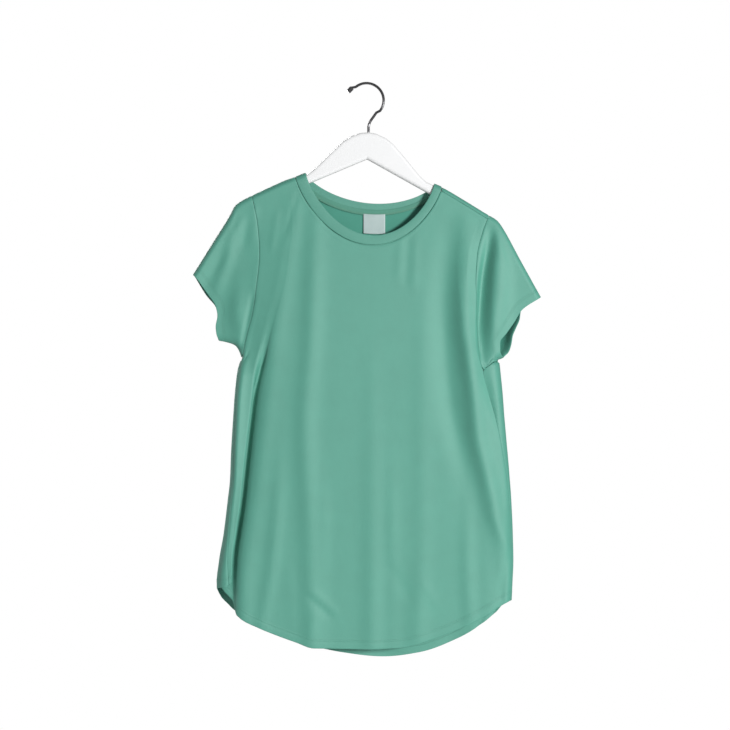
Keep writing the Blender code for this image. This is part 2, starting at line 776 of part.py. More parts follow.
def back_panel(finish):
    def edge(side, step):
        corner_z = ARMPIT_MINUS_Z if side < 0 else ARMPIT_PLUS_Z
        name = "minus" if side < 0 else "plus"

        def route(z):
            if z >= corner_z:
                inset = side_inset(BACK_EDGE_ARC * step / BACK_EDGE_STEPS) + SEAM_GAP / 2
                return Spot(armhole_x(side, BACK, z) - side * inset)
            seam_arc = side_arc(read(BODY, "seam_" + name, z)) - SEAM_GAP / 2
            arc = mix(-max(0.0, seam_arc), BACK_EDGE_ARC, step / BACK_EDGE_STEPS)
            inset = side_inset(abs(arc))
            return Spot(read(BODY, name, z) - side * inset, inset, arc < 0)

        return route

    def hem(route, side, step):
        spot = route(SIDE_HEM_Z)
        if side < 0 and spot.turned:
            return mix(STRIP_HEM_SEAM, HEM_BACK[0].z, step / TURNED_STEPS)
        return read(HEM_BACK, "z", spot.x)

    def armpit_z(route):
        share = (route(BACK_UNDERARM_Z).x - BODY[0].minus) / (BODY[0].plus - BODY[0].minus)
        return mix(ARMPIT_MINUS_Z, ARMPIT_PLUS_Z, min(1.0, max(0.0, share)))

    columns = []
    minus_arc = -shoulder_arc(-1) + SHOULDER_GAP / 2
    plus_arc = -shoulder_arc(1) + SHOULDER_GAP / 2
    for step in range(BACK_EDGE_STEPS + 1):
        route = edge(-1, step)
        hem_z = hem(route, -1, step)
        columns.append(panel_column(route, minus_arc, minus_arc, BACK, ARMPIT_MINUS_Z, hem_z))
    left, right = edge(-1, BACK_EDGE_STEPS), edge(1, BACK_EDGE_STEPS)
    starts = [(x, minus_arc) for x in (*SHOULDER_MINUS, NECK_MINUS[0] - SEAM_GAP / 2)]
    for angle in neck_angles(BACK):
        starts.append((ring_x(PANEL_RING, angle), wrap_arc(ring_drop(PANEL_RING, angle, BACK))))
    starts += [(x, plus_arc) for x in (NECK_PLUS[0] + SEAM_GAP / 2, *SHOULDER_PLUS)]
    beside_neck = (len(SHOULDER_MINUS) + 1, len(starts) - len(SHOULDER_PLUS) - 2)
    for k, (x, arc) in enumerate(starts):
        z = top_line(x) - wrap_drop(abs(arc)) / lean(x)
        route = spread_route(x, z, (k + 1) / (len(starts) + 1), left, right)
        hem_z = read(HEM_BACK, "z", route(BACK_HEM_Z).x)
        shoulder = minus_arc if x < 0 else plus_arc
        stepped = k in beside_neck
        columns.append(panel_column(route, arc, shoulder, BACK, armpit_z(route), hem_z, stepped))
    for step in range(BACK_EDGE_STEPS, -1, -1):
        route = edge(1, step)
        hem_z = hem(route, 1, step)
        columns.append(panel_column(route, plus_arc, plus_arc, BACK, ARMPIT_PLUS_Z, hem_z))
    return sheet_object("back", columns, CLOTH, finish)


# Points round a sleeve, as shares of the way down each face, and rings along it
RING_SHARES = [0, 0.008, 0.028, 0.055, 0.12, 0.22, 0.34, 0.46, 0.58, 0.7, 0.81, 0.89, 0.945, 0.98, 1]
SLEEVE_STEPS = 8
ARMHOLE_STEPS = 24
SLEEVE_GAP = 0.59


def sleeve(name, side, finish):
    """A flattened tube from the armhole to the cuff, worked out on each face from its edges."""
    rows = ARMHOLE_MINUS if side < 0 else ARMHOLE_PLUS
    underarm = UNDERARM_MINUS if side < 0 else UNDERARM_PLUS
    cuffs = {
        FRONT: CUFF_MINUS_FRONT if side < 0 else CUFF_PLUS_FRONT,
        BACK: CUFF_MINUS_BACK if side < 0 else CUFF_PLUS_BACK,
    }

    def armhole(face):
        corner = ARMHOLE_CORNER_PLUS if side > 0 and face < 0 else []
        low_z = corner[0].z if corner else underarm[0].z
        levels = [mix(rows[0].z, low_z, k / ARMHOLE_STEPS) for k in range(ARMHOLE_STEPS)]
        chain = [(armhole_x(side, face, z) + side * SLEEVE_GAP, z) for z in levels]
        chain[0] = (chain[0][0], top_line(chain[0][0]))
        return chain + corner + [underarm[0]]

    def ring(along):
        points = []
        for face, shares in ((FRONT, RING_SHARES), (BACK, RING_SHARES[-2:0:-1])):
            chain, cuff = armhole(face), cuffs[face]
            top_x = mix(chain[0][0], cuff[0].x, along)
            top = Vector((top_x, top_line(top_x)))
            low = Vector(evenly(underarm, along))
            top_shift = top - Vector(chain[0]).lerp(Vector(cuff[0]), along)
            low_shift = low - Vector(chain[-1]).lerp(Vector(cuff[-1]), along)
            for share in shares:
                across = Vector(evenly(chain, share)).lerp(Vector(evenly(cuff, share)), along)
                place = across + top_shift * (1 - share) + low_shift * share
                points.append(cloth_point(place.x, place.y, face))
        return points

    rings = [ring(k / SLEEVE_STEPS) for k in range(SLEEVE_STEPS + 1)]
    columns = [list(line) for line in zip(*rings)]
    if side > 0:
        columns.reverse()
    return sheet_object(name, columns, CLOTH, finish, closed=True)


# Degrees round from the band's ends at which it crosses the ridge, on each face
BAND_END_MINUS = [0, 1.9]
BAND_END_PLUS = [0, 1.9, 4.7]
BAND_END_BACK = [3.5, 7]
BAND_SHARES = (0, 0.5, 1)


def neckband(finish):
    """The band from the neck seam up to its free edge, over both arms of the hanger."""
    turns = [(angle, FRONT) for angle in neck_angles(FRONT)]
    turns += [(math.pi - math.radians(angle), FRONT) for angle in reversed(BAND_END_PLUS)]
    turns += [(math.pi - math.radians(angle), BACK) for angle in BAND_END_BACK]
    turns += [(angle, BACK) for angle in reversed(neck_angles(BACK))]
    turns += [(math.radians(angle), BACK) for angle in reversed(BAND_END_BACK)]
    turns += [(math.radians(angle), FRONT) for angle in BAND_END_MINUS]
    columns = []
    for angle, face in turns:
        column = []
        for share in BAND_SHARES:
            ring = NeckRing(*(mix(a, b, share) for a, b in zip(BAND_RING, NECK_EDGE)))
            minus, plus = neck_ends(ring, BAND_RIDGE)
            x = ring_x(ring, angle)
            chord = mix(minus[1], plus[1], (x - minus[0]) / (plus[0] - minus[0]))
            drop = ring_drop(ring, angle, face)
            lift = BAND_EASE * (1 - ease(drop, BAND_EASE_FROM, BAND_EASE_TO))
            depth = half_depth(x, chord - drop, face) + lift
            column.append(Vector((x, face * wrap_share(drop) * depth, chord - drop)))
        columns.append(column)
    return sheet_object("neckband", columns, BAND_CLOTH, finish, closed=True)


def neck_label(finish):
    """A satin label that hangs inside the back panel from the neck seam."""
    inward = (CLOTH + LABEL_CLOTH) / 2 + SEAM_GAP
    columns = []
    for k in range(LABEL_COLUMNS):
        x = LABEL_MIDDLE + LABEL_WIDTH * (k / (LABEL_COLUMNS - 1) - 0.5)
        angle = math.acos((PANEL_RING.middle - x) / PANEL_RING.half_width)
        top = top_line(x) - ring_drop(PANEL_RING, angle, BACK) - LABEL_TOP_DROP
        column = []
        for step in range(LABEL_ROWS):
            z = top - LABEL_HEIGHT * step / (LABEL_ROWS - 1)
            column.append(cloth_point(x, z, BACK) - Vector((0, inward, 0)))
        columns.append(column)
    return sheet_object("neck_label", columns, LABEL_CLOTH, finish)


def hanger_body(finish):
    """The plastic body: a hump, two arms with round ends, and a bore for the hook."""
    half = [(row.x, -row.upper) for row in ARM]
    for k in range(ARM_TIP_STEPS + 1):
        angle = math.radians(ARM_TIP_FROM) - math.pi * k / ARM_TIP_STEPS
        x = ARM_TIP_X + ARM_TIP_RADIUS * math.cos(angle)
        half.append((x, -ARM_TIP_DEPTH + ARM_TIP_RADIUS * math.sin(angle)))
    half += [(x, -read(ARM, "lower", x)) for x in ARM_UNDER_X]
    outline = half + [(0, -ARM[0].lower)] + [(-x, z) for x, z in reversed(half[1:])]
    bm = bmesh.new()
    corners = [bm.verts.new((x * MM, -ARM_THICKNESS / 2 * MM, z * MM)) for x, z in outline]
    face = bm.faces.new(corners)
    made = bmesh.ops.extrude_face_region(bm, geom=[face])
    moved = [item for item in made["geom"] if isinstance(item, bmesh.types.BMVert)]
    bmesh.ops.translate(bm, verts=moved, vec=(0, ARM_THICKNESS * MM, 0))
    rims = [edge for edge in bm.edges if abs(edge.verts[0].co.y - edge.verts[1].co.y) < MM]
    bmesh.ops.bevel(
        bm,
        geom=rims,
        offset=ARM_EDGE * MM,
        segments=ARM_EDGE_SEGMENTS,
        profile=0.5,
        affect="EDGES",
        clamp_overlap=True,
        material=-1,
    )
    bmesh.ops.recalc_face_normals(bm, faces=bm.faces)
    mesh = bpy.data.meshes.new("hanger_body")
    bm.to_mesh(mesh)
    bm.free()
    mesh.shade_smooth()
    mesh.set_sharp_from_angle(angle=SHARP_ANGLE)
    body = add_object("hanger_body", mesh, finish)
    body.location = HUMP * MM
    body.rotation_euler = (0, TILT, 0)

    bm = bmesh.new()
    bmesh.ops.create_cone(
        bm,
        cap_ends=True,
        segments=BORE_SIDES,
        radius1=(WIRE / 2 + BORE_GAP) * MM,
        radius2=(WIRE / 2 + BORE_GAP) * MM,
        depth=(ARM[0].lower + 2 * BORE_PAST) * MM,
    )
    mesh = bpy.data.meshes.new("bore")
    bm.to_mesh(mesh)
    bm.free()
    bore = add_object("bore", mesh, finish)
    bore.parent = body
    bore.location = (0, 0, -ARM[0].lower / 2 * MM)
    bore.hide_render = True
    bore.display_type = "WIRE"
    cut = body.modifiers.new("bore", "BOOLEAN")
    cut.operation = "DIFFERENCE"
    cut.object = bore
    return body


def hook_route():
    """Points of the wire's middle line, from its free end down into the bore."""
    points = []
    for k in range(HOOK_STEPS + 1):
        angle = mix(HOOK_TIP_ANGLE, HOOK_LAST_ANGLE, k / HOOK_STEPS)
        reach = HOOK_RADIUS + HOOK_FLARE * ease(angle, HOOK_FLARE_ANGLE, HOOK_TIP_ANGLE)
        turn = math.radians(angle)
        points.append((reach * math.cos(turn), HOOK_CENTRE_Z + reach * math.sin(turn)))
    points += HOOK_STEM
    points += [hung(0, depth) for depth in HOOK_SHANK]
    return points


def hanger_hook(finish):
    route = hook_route()
    tip, after = Vector(route[0]), Vector(route[1])
    way = (tip - after).normalized()
    knots = [(tip - way * row.along, row.diameter) for row in CAP]
    knots += [(Vector(place), WIRE) for place in route[1:] if math.dist(place, tip) > CAP_LENGTH + 1]
    curve = bpy.data.curves.new("hanger_hook", "CURVE")
    curve.dimensions = "3D"
    curve.bevel_depth = WIRE / 2 * MM
    curve.bevel_resolution = 2
    curve.use_fill_caps = True
    line = curve.splines.new("POLY")
    line.points.add(len(knots) - 1)
    for point, (place, diameter) in zip(line.points, knots):
        point.co = (place.x * MM, 0, place.y * MM, 1)
        point.radius = diameter / WIRE
    return add_object("hanger_hook", curve, finish)


def main():
    for old in list(bpy.data.objects):
        bpy.data.objects.remove(old, do_unlink=True)
    jersey = (0.165, 0.425, 0.345)
    front_panel(material("front jersey", jersey, 0.85))
    back_panel(material("back jersey", jersey, 0.85))
    sleeve("sleeve_right", -1, material("right sleeve jersey", jersey, 0.85))
    sleeve("sleeve_left", 1, material("left sleeve jersey", jersey, 0.85))
    neckband(material("neckband rib", jersey, 0.85))
    neck_label(material("satin label", (0.62, 0.7, 0.7), 0.4))
    hanger_body(material("white plastic", (0.93, 0.93, 0.93), 0.35))
    hanger_hook(material("chrome wire", (0.75, 0.75, 0.76), 0.15, 1.0))


main()
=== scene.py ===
import bisect
import math
from functools import partial

import bmesh
import bpy
from mathutils import Matrix, Vector


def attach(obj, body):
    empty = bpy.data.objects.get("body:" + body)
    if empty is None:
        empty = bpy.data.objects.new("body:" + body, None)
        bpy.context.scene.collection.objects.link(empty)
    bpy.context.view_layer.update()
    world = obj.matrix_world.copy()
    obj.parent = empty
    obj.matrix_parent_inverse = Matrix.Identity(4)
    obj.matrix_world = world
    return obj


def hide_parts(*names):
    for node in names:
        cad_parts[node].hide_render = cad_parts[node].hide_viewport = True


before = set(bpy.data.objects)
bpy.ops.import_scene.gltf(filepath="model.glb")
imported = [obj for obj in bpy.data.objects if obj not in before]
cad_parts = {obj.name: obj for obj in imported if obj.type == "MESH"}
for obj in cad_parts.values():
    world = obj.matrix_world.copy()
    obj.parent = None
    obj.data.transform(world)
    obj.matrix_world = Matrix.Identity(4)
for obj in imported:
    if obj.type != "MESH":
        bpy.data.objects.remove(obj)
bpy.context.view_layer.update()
mm = 0.001
front, back = -1, 1
print("frame loaded:", ", ".join(sorted(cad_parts)))

# Sizes below are millimetres, in the garment's own frame: its front faces -Y, up is +Z,
# and the origin is where the hook bears on what holds it.


def mix(a, b, share):
    return a + (b - a) * share


def ease(value, start, end):
    t = min(1.0, max(0.0, (value - start) / (end - start)))
    return t * t * (3 - 2 * t)


# a smooth crowding of even steps towards both ends
def crowded(t, strength):
    return t - strength * math.sin(2 * math.pi * t) / (2 * math.pi)


def bell(away, width):
    return math.exp(-((away / width) ** 2))


def slopeOf(line, x, reach=5):
    return (line(x + reach) - line(x - reach)) / (2 * reach)


# a smooth line, with no overshoot, through (place, value) pairs
def curve(pairs):
    pairs = sorted(pairs)
    xs = [pair[0] for pair in pairs]
    ys = [pair[1] for pair in pairs]
    slopes = [(ys[k + 1] - ys[k]) / (xs[k + 1] - xs[k]) for k in range(len(xs) - 1)]
    turns = [slopes[0]]
    for a, b in zip(slopes, slopes[1:]):
        turns.append(0.0 if a * b <= 0 else 2 * a * b / (a + b))
    turns.append(slopes[-1])

    def at(x):
        if x <= xs[0]:
            return ys[0]
        if x >= xs[-1]:
            return ys[-1]
        k = bisect.bisect_right(xs, x) - 1
        span = xs[k + 1] - xs[k]
        t = (x - xs[k]) / span
        near = ys[k] * (1 + 2 * t) + turns[k] * span * t
        far = ys[k + 1] * (3 - 2 * t) + turns[k + 1] * span * (t - 1)
        return near * (1 - t) ** 2 + far * t * t

    return at


# smooth lines, one for each column of a table but its first, which gives their places
def columnLines(rows):
    return [curve([(row[0], row[n]) for row in rows]) for n in range(1, len(rows[0]))]


# how far along a line of points each one is
def lengths(points):
    places = [0.0]
    for a, b in zip(points, points[1:]):
        places.append(places[-1] + (b - a).length)
    return places


# a smooth path through points, by the share of its length
def path(points):
    places = [0.0]
    for a, b in zip(points, points[1:]):
        places.append(places[-1] + math.dist(a, b))
    shares = [place / places[-1] for place in places]
    lines = [curve(list(zip(shares, values))) for values in zip(*points)]
    return lambda share: Vector([line(share) for line in lines])


# The hanger drawn level: half width, and depth of its upper edge below the hump's top
hanger = {
    "arm": [
        (0, 0), (12, 1.6), (26, 7.4), (38, 16), (57, 36), (70, 50.5), (80, 61),
        (89, 68.2), (100, 72.6), (110, 76.2), (120, 80.6), (143, 92.6), (160, 101.7), (178, 111.4),
    ],
    "hump": (2.95, -70.9),
    "tilt": math.radians(3.2),
}
armUpper = curve(hanger["arm"])


# world place of a point of the level hanger, with the tilt that it hangs at
def hung(x, depth, lift):
    tilt, z = hanger["tilt"], lift - depth
    return (
        hanger["hump"][0] + x * math.cos(tilt) + z * math.sin(tilt),
        hanger["hump"][1] - x * math.sin(tilt) + z * math.cos(tilt),
    )


# The shirt's form, as its solids have it
shirt = {
    "wall": 0.9,
    "seamGap": 0.24,
    "shoulderGap": 0.5,
    "wrap": (8, 8),  # how far in and over what radius the cloth bends over the arms
    "wrapFrom": 85,  # the cloth lies on the arms from here out
    "seat": 1.75,
    "sleeveTop": [
        (-255.6, -280.9), (-226.8, -234.6), (-198.9, -189.2), (-194.2, -179.6),
        (192.6, -201.2), (198.4, -208.6), (227.2, -260.6), (256.7, -314),
    ],
    # z, left edge, right edge, and how far in from each the side seam runs
    "body": [
        (-404.2, -183, 194.6, 0, 0), (-407.1, -184.9, 194.7, 0.6, 0),
        (-409.5, -186, 195.3, 1, 8.6), (-415.5, -188.2, 196.3, 1.5, 17.4),
        (-422.6, -189.9, 197.2, 2, 26.5), (-450.6, -193.3, 199.9, 3, 22.2),
        (-497.8, -196.6, 203.6, 4, 12.9), (-543.5, -199.4, 207.7, 5.4, 7.4),
        (-582, -200.8, 210.9, 6, 4.4), (-613, -204.2, 213.1, 6.4, 3.4),
        (-664.5, -210.6, 215.4, 9, 2.6), (-701.3, -217, 216.1, 13.6, 2),
        (-734, -220.5, 214.8, 18.4, 1.6), (-762, -219.5, 213.6, 19, 1.4),
    ],
    "side": (12, 14),  # the same for the rounding of the sides
    # z, half depth at the front and at the back
    "depth": [
        (-130, 8, 8), (-180, 8.6, 8.8), (-240, 11, 10.5), (-330, 15, 12.5),
        (-420, 17.5, 13.5), (-600, 18.5, 14), (-850, 20, 15),
    ],
    "cuffDepth": 11.5,
    "cuffReach": 62,
    "armpit": {-1: -404.2, 1: -407.1},
    "frontArmpit": -422.6,
    "spread": -440,  # columns of a panel are evenly spread below this height
}
bodyLines = columnLines(shirt["body"])
bodyEdge = dict(zip((-1, 1), bodyLines[:2]))
bodySeam = dict(zip((-1, 1), bodyLines[2:]))
halfDepthLine = dict(zip((front, back), columnLines(shirt["depth"])))

# Armhole seams: z, x on the front and x on the back
armholeRows = {
    -1: [
        (-165, -168.4, -168.4), (-207.2, -160, -163), (-250, -157.2, -160),
        (-300.2, -162, -163.5), (-336.4, -167.1, -168.5), (-372.4, -176.6, -176),
        (-404.2, -183, -183),
    ],
    1: [
        (-192.4, 180.6, 180.6), (-217, 171, 173), (-252.5, 162.5, 166.5),
        (-291.3, 160.3, 165), (-317.9, 161.5, 166.5), (-359.2, 163, 173),
        (-392, 164.6, 184), (-407.1, 166.4, 194.7), (-422.6, 170.7, 194.7),
    ],
}
armholeLine = {
    (side, face): line
    for side, rows in armholeRows.items()
    for face, line in zip((front, back), columnLines(rows))
}

# Sleeve ends, from the tip of the cuff down to the underarm
cuffs = {
    (-1, front): [
        (-255.6, -280.9), (-249, -287.5), (-240.8, -299.4), (-231.4, -312.8), (-222.6, -325.8),
        (-219.4, -341.5), (-221.9, -357.2), (-220.9, -367.5), (-217.6, -377.6),
    ],
    (-1, back): [
        (-255.6, -280.9), (-237.5, -310.5), (-222.4, -330), (-219.6, -343),
        (-220.6, -357), (-219.8, -368), (-217.6, -377.6),
    ],
    (1, front): [
        (256.7, -314), (227.3, -334.1), (218.7, -348.4), (205.5, -367.3), (196, -380.6),
        (196, -392.8), (199.4, -400.6), (202, -402.6),
    ],
    (1, back): [
        (256.7, -314), (227.8, -334.6), (226.3, -345.6), (220.5, -359.8), (216, -371),
        (214.1, -383.3), (210.2, -395), (202, -402.6),
    ],
}
underarms = {
    -1: [(-184.2, -402.5), (-185.2, -398.6), (-193, -385), (-206.5, -379.8), (-217.6, -377.6)],
    1: [(194.9, -405.7), (198.4, -404.1), (202, -402.6)],
}
frontCorner = [(171.6, -420.9), (177.6, -412.4), (185.6, -406)]


def ridgeLine(seat):
    rows = list(shirt["sleeveTop"])
    for x, upper in hanger["arm"]:
        if x >= shirt["wrapFrom"]:
            lift = seat / math.cos(math.atan(slopeOf(armUpper, x)))
            rows += [hung(side * x, upper, lift) for side in (-1, 1)]
    return curve(rows)


ridge = ridgeLine(shirt["seat"])

# The neck: middle, half width, and how far its front and back drop below its ends
neck = {
    "seam": (2.95, 107.7, 93.6, 46.6),
    "edge": (5.2, 94.4, 84.0, 35.6),
    "round": 1.5,
    "shoulderDrop": {-1: 2.2, 1: 5.6},  # how far in front of the ridge each shoulder seam is
}


def ringOut(ring, out):
    middle, halfWidth, frontDrop, backDrop = ring
    return (middle, halfWidth + out, frontDrop + out, backDrop + out)


halfGap = shirt["seamGap"] / 2
panelRing = ringOut(neck["seam"], halfGap)
bandRing = ringOut(neck["seam"], -halfGap)


def ringEnds(ring, line):
    xs = (ring[0] - ring[1], ring[0] + ring[1])
    return [(x, line(x)) for x in xs]


neckEnds = ringEnds(neck["seam"], ridge)


# height of the cloth's top at x, straight across the neck
def topLine(x):
    (x0, z0), (x1, z1) = neckEnds
    if x0 < x < x1:
        return mix(z0, z1, (x - x0) / (x1 - x0))
    return ridge(x)


def lean(x):
    return 1 / math.hypot(1, slopeOf(topLine, x))


# The cloth bends round a quarter and goes straight on. These give how far in it is after a length
# of arc, the arc for how far in, and the share of its full half depth there.
def bentIn(arc, bend):
    depth, radius = shirt[bend]
    if arc < radius * math.pi / 2:
        return depth * (1 - math.cos(arc / radius))
    return depth + arc - radius * math.pi / 2


def bentArc(inset, bend):
    depth, radius = shirt[bend]
    if inset < depth:
        return radius * math.acos(1 - inset / depth)
    return radius * math.pi / 2 + inset - depth


def bentShare(inset, bend):
    depth = shirt[bend][0]
    if inset >= depth:
        return 1.0
    return math.sqrt(max(0.0, 1 - (1 - max(0.0, inset) / depth) ** 2))


outlinePlan = {
    "underSteps": 12,
    "step": 9,
    "steps": 54,
    "nearSides": 165,  # nearer to the middle than this, no side is looked for
    "reach": 20,
    "far": 99.0,
}


def outlineChain(side):
    under = path(underarms[side][::-1])
    count, step = outlinePlan["underSteps"], outlinePlan["step"]
    chain = [tuple(under(k / count)) for k in range(count + 1)]
    levels = [chain[-1][1] - step * k for k in range(1, outlinePlan["steps"] + 1)]
    return chain + [(bodyEdge[side](z), z) for z in levels]


outlines = {side: outlineChain(side) for side in (-1, 1)}


def outlineDistance(x, z):
    nearest, reach = outlinePlan["far"], outlinePlan["reach"]
    if abs(x) < outlinePlan["nearSides"]:
        return nearest
    chain = outlines[-1 if x < 0 else 1]
    for (ax, az), (bx, bz) in zip(chain, chain[1:]):
        if min(az, bz) - reach > z or max(az, bz) + reach < z:
            continue
        wx, wz = bx - ax, bz - az
        share = min(1.0, max(0.0, ((x - ax) * wx + (z - az) * wz) / (wx * wx + wz * wz)))
        nearest = min(nearest, math.hypot(ax + wx * share - x, az + wz * share - z))
    return nearest


def halfDepth(x, z, face):
    side = -1 if x < 0 else 1
    beyond = side * (x - armholeLine[side, face](z))
    return mix(halfDepthLine[face](z), shirt["cuffDepth"], ease(beyond, 0, shirt["cuffReach"]))


# Soft folds. Each crest runs through (z, x, rise) points, with its half width.
folds = {
    front: [
        ([(-190, -106, 1.2), (-400, -137, 1.2), (-735, -180, 1.6)], 13),
        ([(-520, -126, 0.1), (-580, -128, 0.8), (-690, -136, 1.9), (-790, -152, 1.6)], 8),
        (
            [
                (-200, -74, 1.2), (-380, -81, 2.6), (-500, -89, 2.6),
                (-680, -82, 2.6), (-800, -80, 2.8),
            ],
            14,
        ),
        ([(-560, -64, 0.1), (-640, -62, 0.9), (-700, -62, 0.6)], 8),
        ([(-400, 9, 0.3), (-560, 9, 1), (-800, 8, 1.9)], 13),
        ([(-560, 38, 0.2), (-640, 38, 0.8), (-730, 40, 0.5)], 8),
        ([(-330, 84, 0.4), (-500, 82, 0.9), (-640, 82, 1), (-800, 76, 1.8)], 14),
        (
            [
                (-225, 147, 2.2), (-260, 145, 4.2), (-300, 143, 5.6), (-347, 144, 6.2),
                (-400, 150, 6.6), (-465, 158, 6.2), (-520, 163, 5.6), (-560, 172, 5),
                (-600, 182, 4.6), (-645, 194, 4.2), (-690, 202, 3.6), (-740, 206, 2.6),
                (-790, 206, 1),
            ],
            13,
        ),
        (
            [
                (-230, 118, -1), (-320, 112, -2.8), (-400, 116, -3.8),
                (-465, 122, -3.8), (-600, 150, -1.2),
            ],
            16,
        ),
        ([(-600, 148, 0.6), (-690, 148, 2), (-735, 149, 2.2), (-790, 152, 2)], 11),
        (
            [
                (-425, 171, -1.6), (-450, 178, -2.4), (-475, 184, -2.4),
                (-500, 191, -1.6), (-540, 200, -0.3),
            ],
            6,
        ),
        (
            [
                (-215, 198, 2), (-260, 195, 4.2), (-300, 194, 4.8),
                (-350, 190, 3.6), (-395, 186, 1),
            ],
            15,
        ),
        (
            [
                (-190, -174, 0.8), (-229, -198, 2), (-259, -204, 2.2),
                (-288, -215, 1.8), (-315, -222, 0.5),
            ],
            9,
        ),
        ([(-290, -186, 0.6), (-335, -190, 2.4), (-372, -184, 1.4)], 12),
        (
            [
                (-415, -186, 1.2), (-465, -190, 3), (-555, -193, 3.4),
                (-640, -203, 3.2), (-720, -209, 2.4),
            ],
            9,
        ),
    ],
    back: [
        ([(-230, -122, 1.2), (-420, -128, 3), (-760, -150, 1.6)], 20),
        ([(-260, -52, 0.6), (-500, -46, 1.8), (-820, -58, 1.8)], 24),
        ([(-240, 24, 0.6), (-520, 34, 1.4), (-820, 28, 1.6)], 22),
        ([(-220, 118, 1.4), (-430, 112, 3.2), (-800, 128, 1.6)], 20),
        ([(-210, 190, 1.5), (-300, 196, 2.4), (-400, 186, 1)], 15),
        ([(-205, -186, 1.5), (-290, -198, 2.2), (-380, -184, 1)], 15),
    ],
}
foldFade = {
    "strength": 1.3,
    "above": 45.0,  # a fold starts this far above its first point
    "below": 60.0,  # and keeps the tail's share of its rise from this far below its last
    "tail": 0.7,
    "arm": (4.0, 26.0),  # distance below the hanger's arm where folds start and are full
    "reach": 2.6,  # in half widths
    "taper": 2.2,  # length of a crease's ends, in half widths
    "least": 0.01,
}

# Creases. Each runs straight between two (x, z) points, with its half width and rise.
creases = {
    front: [
        ((50, -236), (47, -276), 6, 0.6),
        ((61, -238), (58, -288), 5, -0.5),
        ((73, -236), (71, -292), 6, 0.5),
        ((38, -716), (60, -748), 7, -0.6),
        ((86, -738), (98, -758), 6, 0.6),
        ((-80, -757), (-58, -777), 4, -1.7),
        ((-73, -751), (-52, -771), 5, 1.3),
        ((-76, -784), (-80, -806), 5, 0.8),
        ((192, -776), (184, -792), 5, -1.8),
        ((206, -700), (198, -752), 6, -1.4),
        ((186, -640), (200, -668), 7, 1.2),
        ((-104, -172), (-118, -215), 5, -0.7),
        ((-132, -196), (-138, -236), 4.5, 0.7),
        ((-168, -318), (-183, -388), 4, -1.8),
        ((-176, -196), (-180, -232), 5, -0.9),
        ((-164, -186), (-166, -226), 5, 0.8),
        ((-112, -720), (-108, -790), 7, 0.6),
    ],
    back: [
        ((-92, -240), (-110, -330), 8, 1),
        ((88, -250), (104, -350), 8, 1),
        ((-30, -720), (-8, -768), 7, -0.9),
        ((150, -430), (120, -520), 9, 1.4),
        ((-160, -440), (-120, -540), 9, 1.4),
        ((60, -690), (84, -740), 7, 0.8),
        ((200, -764), (184, -788), 3, 3),
        ((193, -762), (176, -792), 3, -2.6),
        ((186, -768), (168, -800), 3.4, 2.6),
    ],
}


def foldLines(rows):
    run = curve([(z, x) for z, x, rise in rows])
    top, low = rows[0][0], rows[-1][0]
    rise = [(top + foldFade["above"], 0.0)] + [(z, rise) for z, x, rise in rows]
    rise.append((low - foldFade["below"], foldFade["tail"] * rows[-1][2]))
    return run, curve(rise)


foldShapes = {face: [(*foldLines(rows), width) for rows, width in folds[face]] for face in folds}


# The cloth falls back beside the armholes: z, where the fall starts, is deepest and ends, depth
fallRows = {
    -1: [
        (-190, -112, -180, -340, 0), (-230, -108, -190, -340, 3.4),
        (-259, -112, -196, -340, 4.6), (-288, -116, -200, -340, 5.4),
        (-318, -122, -200, -340, 6.2), (-347, -128, -196, -340, 6.8),
        (-377, -134, -188, -340, 7.4), (-405, -140, -178, -340, 5.6),
        (-430, -146, -174, -340, 0),
    ],
    1: [
        (-205, 178, 184, 200, 0), (-229, 172, 180, 196, 5), (-259, 166, 175, 192, 8),
        (-288, 162, 170, 189, 9.5), (-318, 160, 167, 187, 9.8), (-350, 159.5, 164.5, 187, 9.4),
        (-385, 160.5, 165.5, 188, 7), (-412, 165, 171, 190, 0),
    ],
}
falls = {side: columnLines(rows) for side, rows in fallRows.items()}


def fall(x, z):
    side = -1 if x < 0 else 1
    start, deepest, end, depth = (line(z) for line in falls[side])
    if depth < foldFade["least"] or side * (x - start) < 0 or side * (x - end) > 0:
        return 0.0
    return depth * ease(x, start, deepest) * (1 - ease(x, deepest, end))


# how far folds, creases and falls move the cloth out
def relief(x, z, face):
    height = -fall(x, z) if face < 0 else 0.0
    reach = foldFade["reach"]
    for run, rise, width in foldShapes[face]:
        away = (x - run(z)) / width
        if abs(away) < reach:
            height += foldFade["strength"] * rise(z) * math.exp(-away * away)
    for (ax, az), (bx, bz), width, rise in creases[face]:
        wx, wz = bx - ax, bz - az
        length = math.hypot(wx, wz)
        forward = ((x - ax) * wx + (z - az) * wz) / length
        across = ((x - ax) * wz - (z - az) * wx) / length / width
        past = max(0.0, -forward, forward - length) / (foldFade["taper"] * width)
        if abs(across) < reach and past < reach:
            height += rise * math.exp(-across * across - past * past)
    return height


# a point of the cloth's middle surface
def clothPoint(x, z, face, inset=None, sunk=0.0):
    drop = max(0.0, (topLine(x) - z) * lean(x))
    rounding = bentShare(outlineDistance(x, z) if inset is None else inset, "side")
    depth = halfDepth(x, z, face) - sunk
    depth += relief(x, z, face) * ease(drop, *foldFade["arm"])
    return Vector((x, face * bentShare(drop, "wrap") * rounding * depth, z))


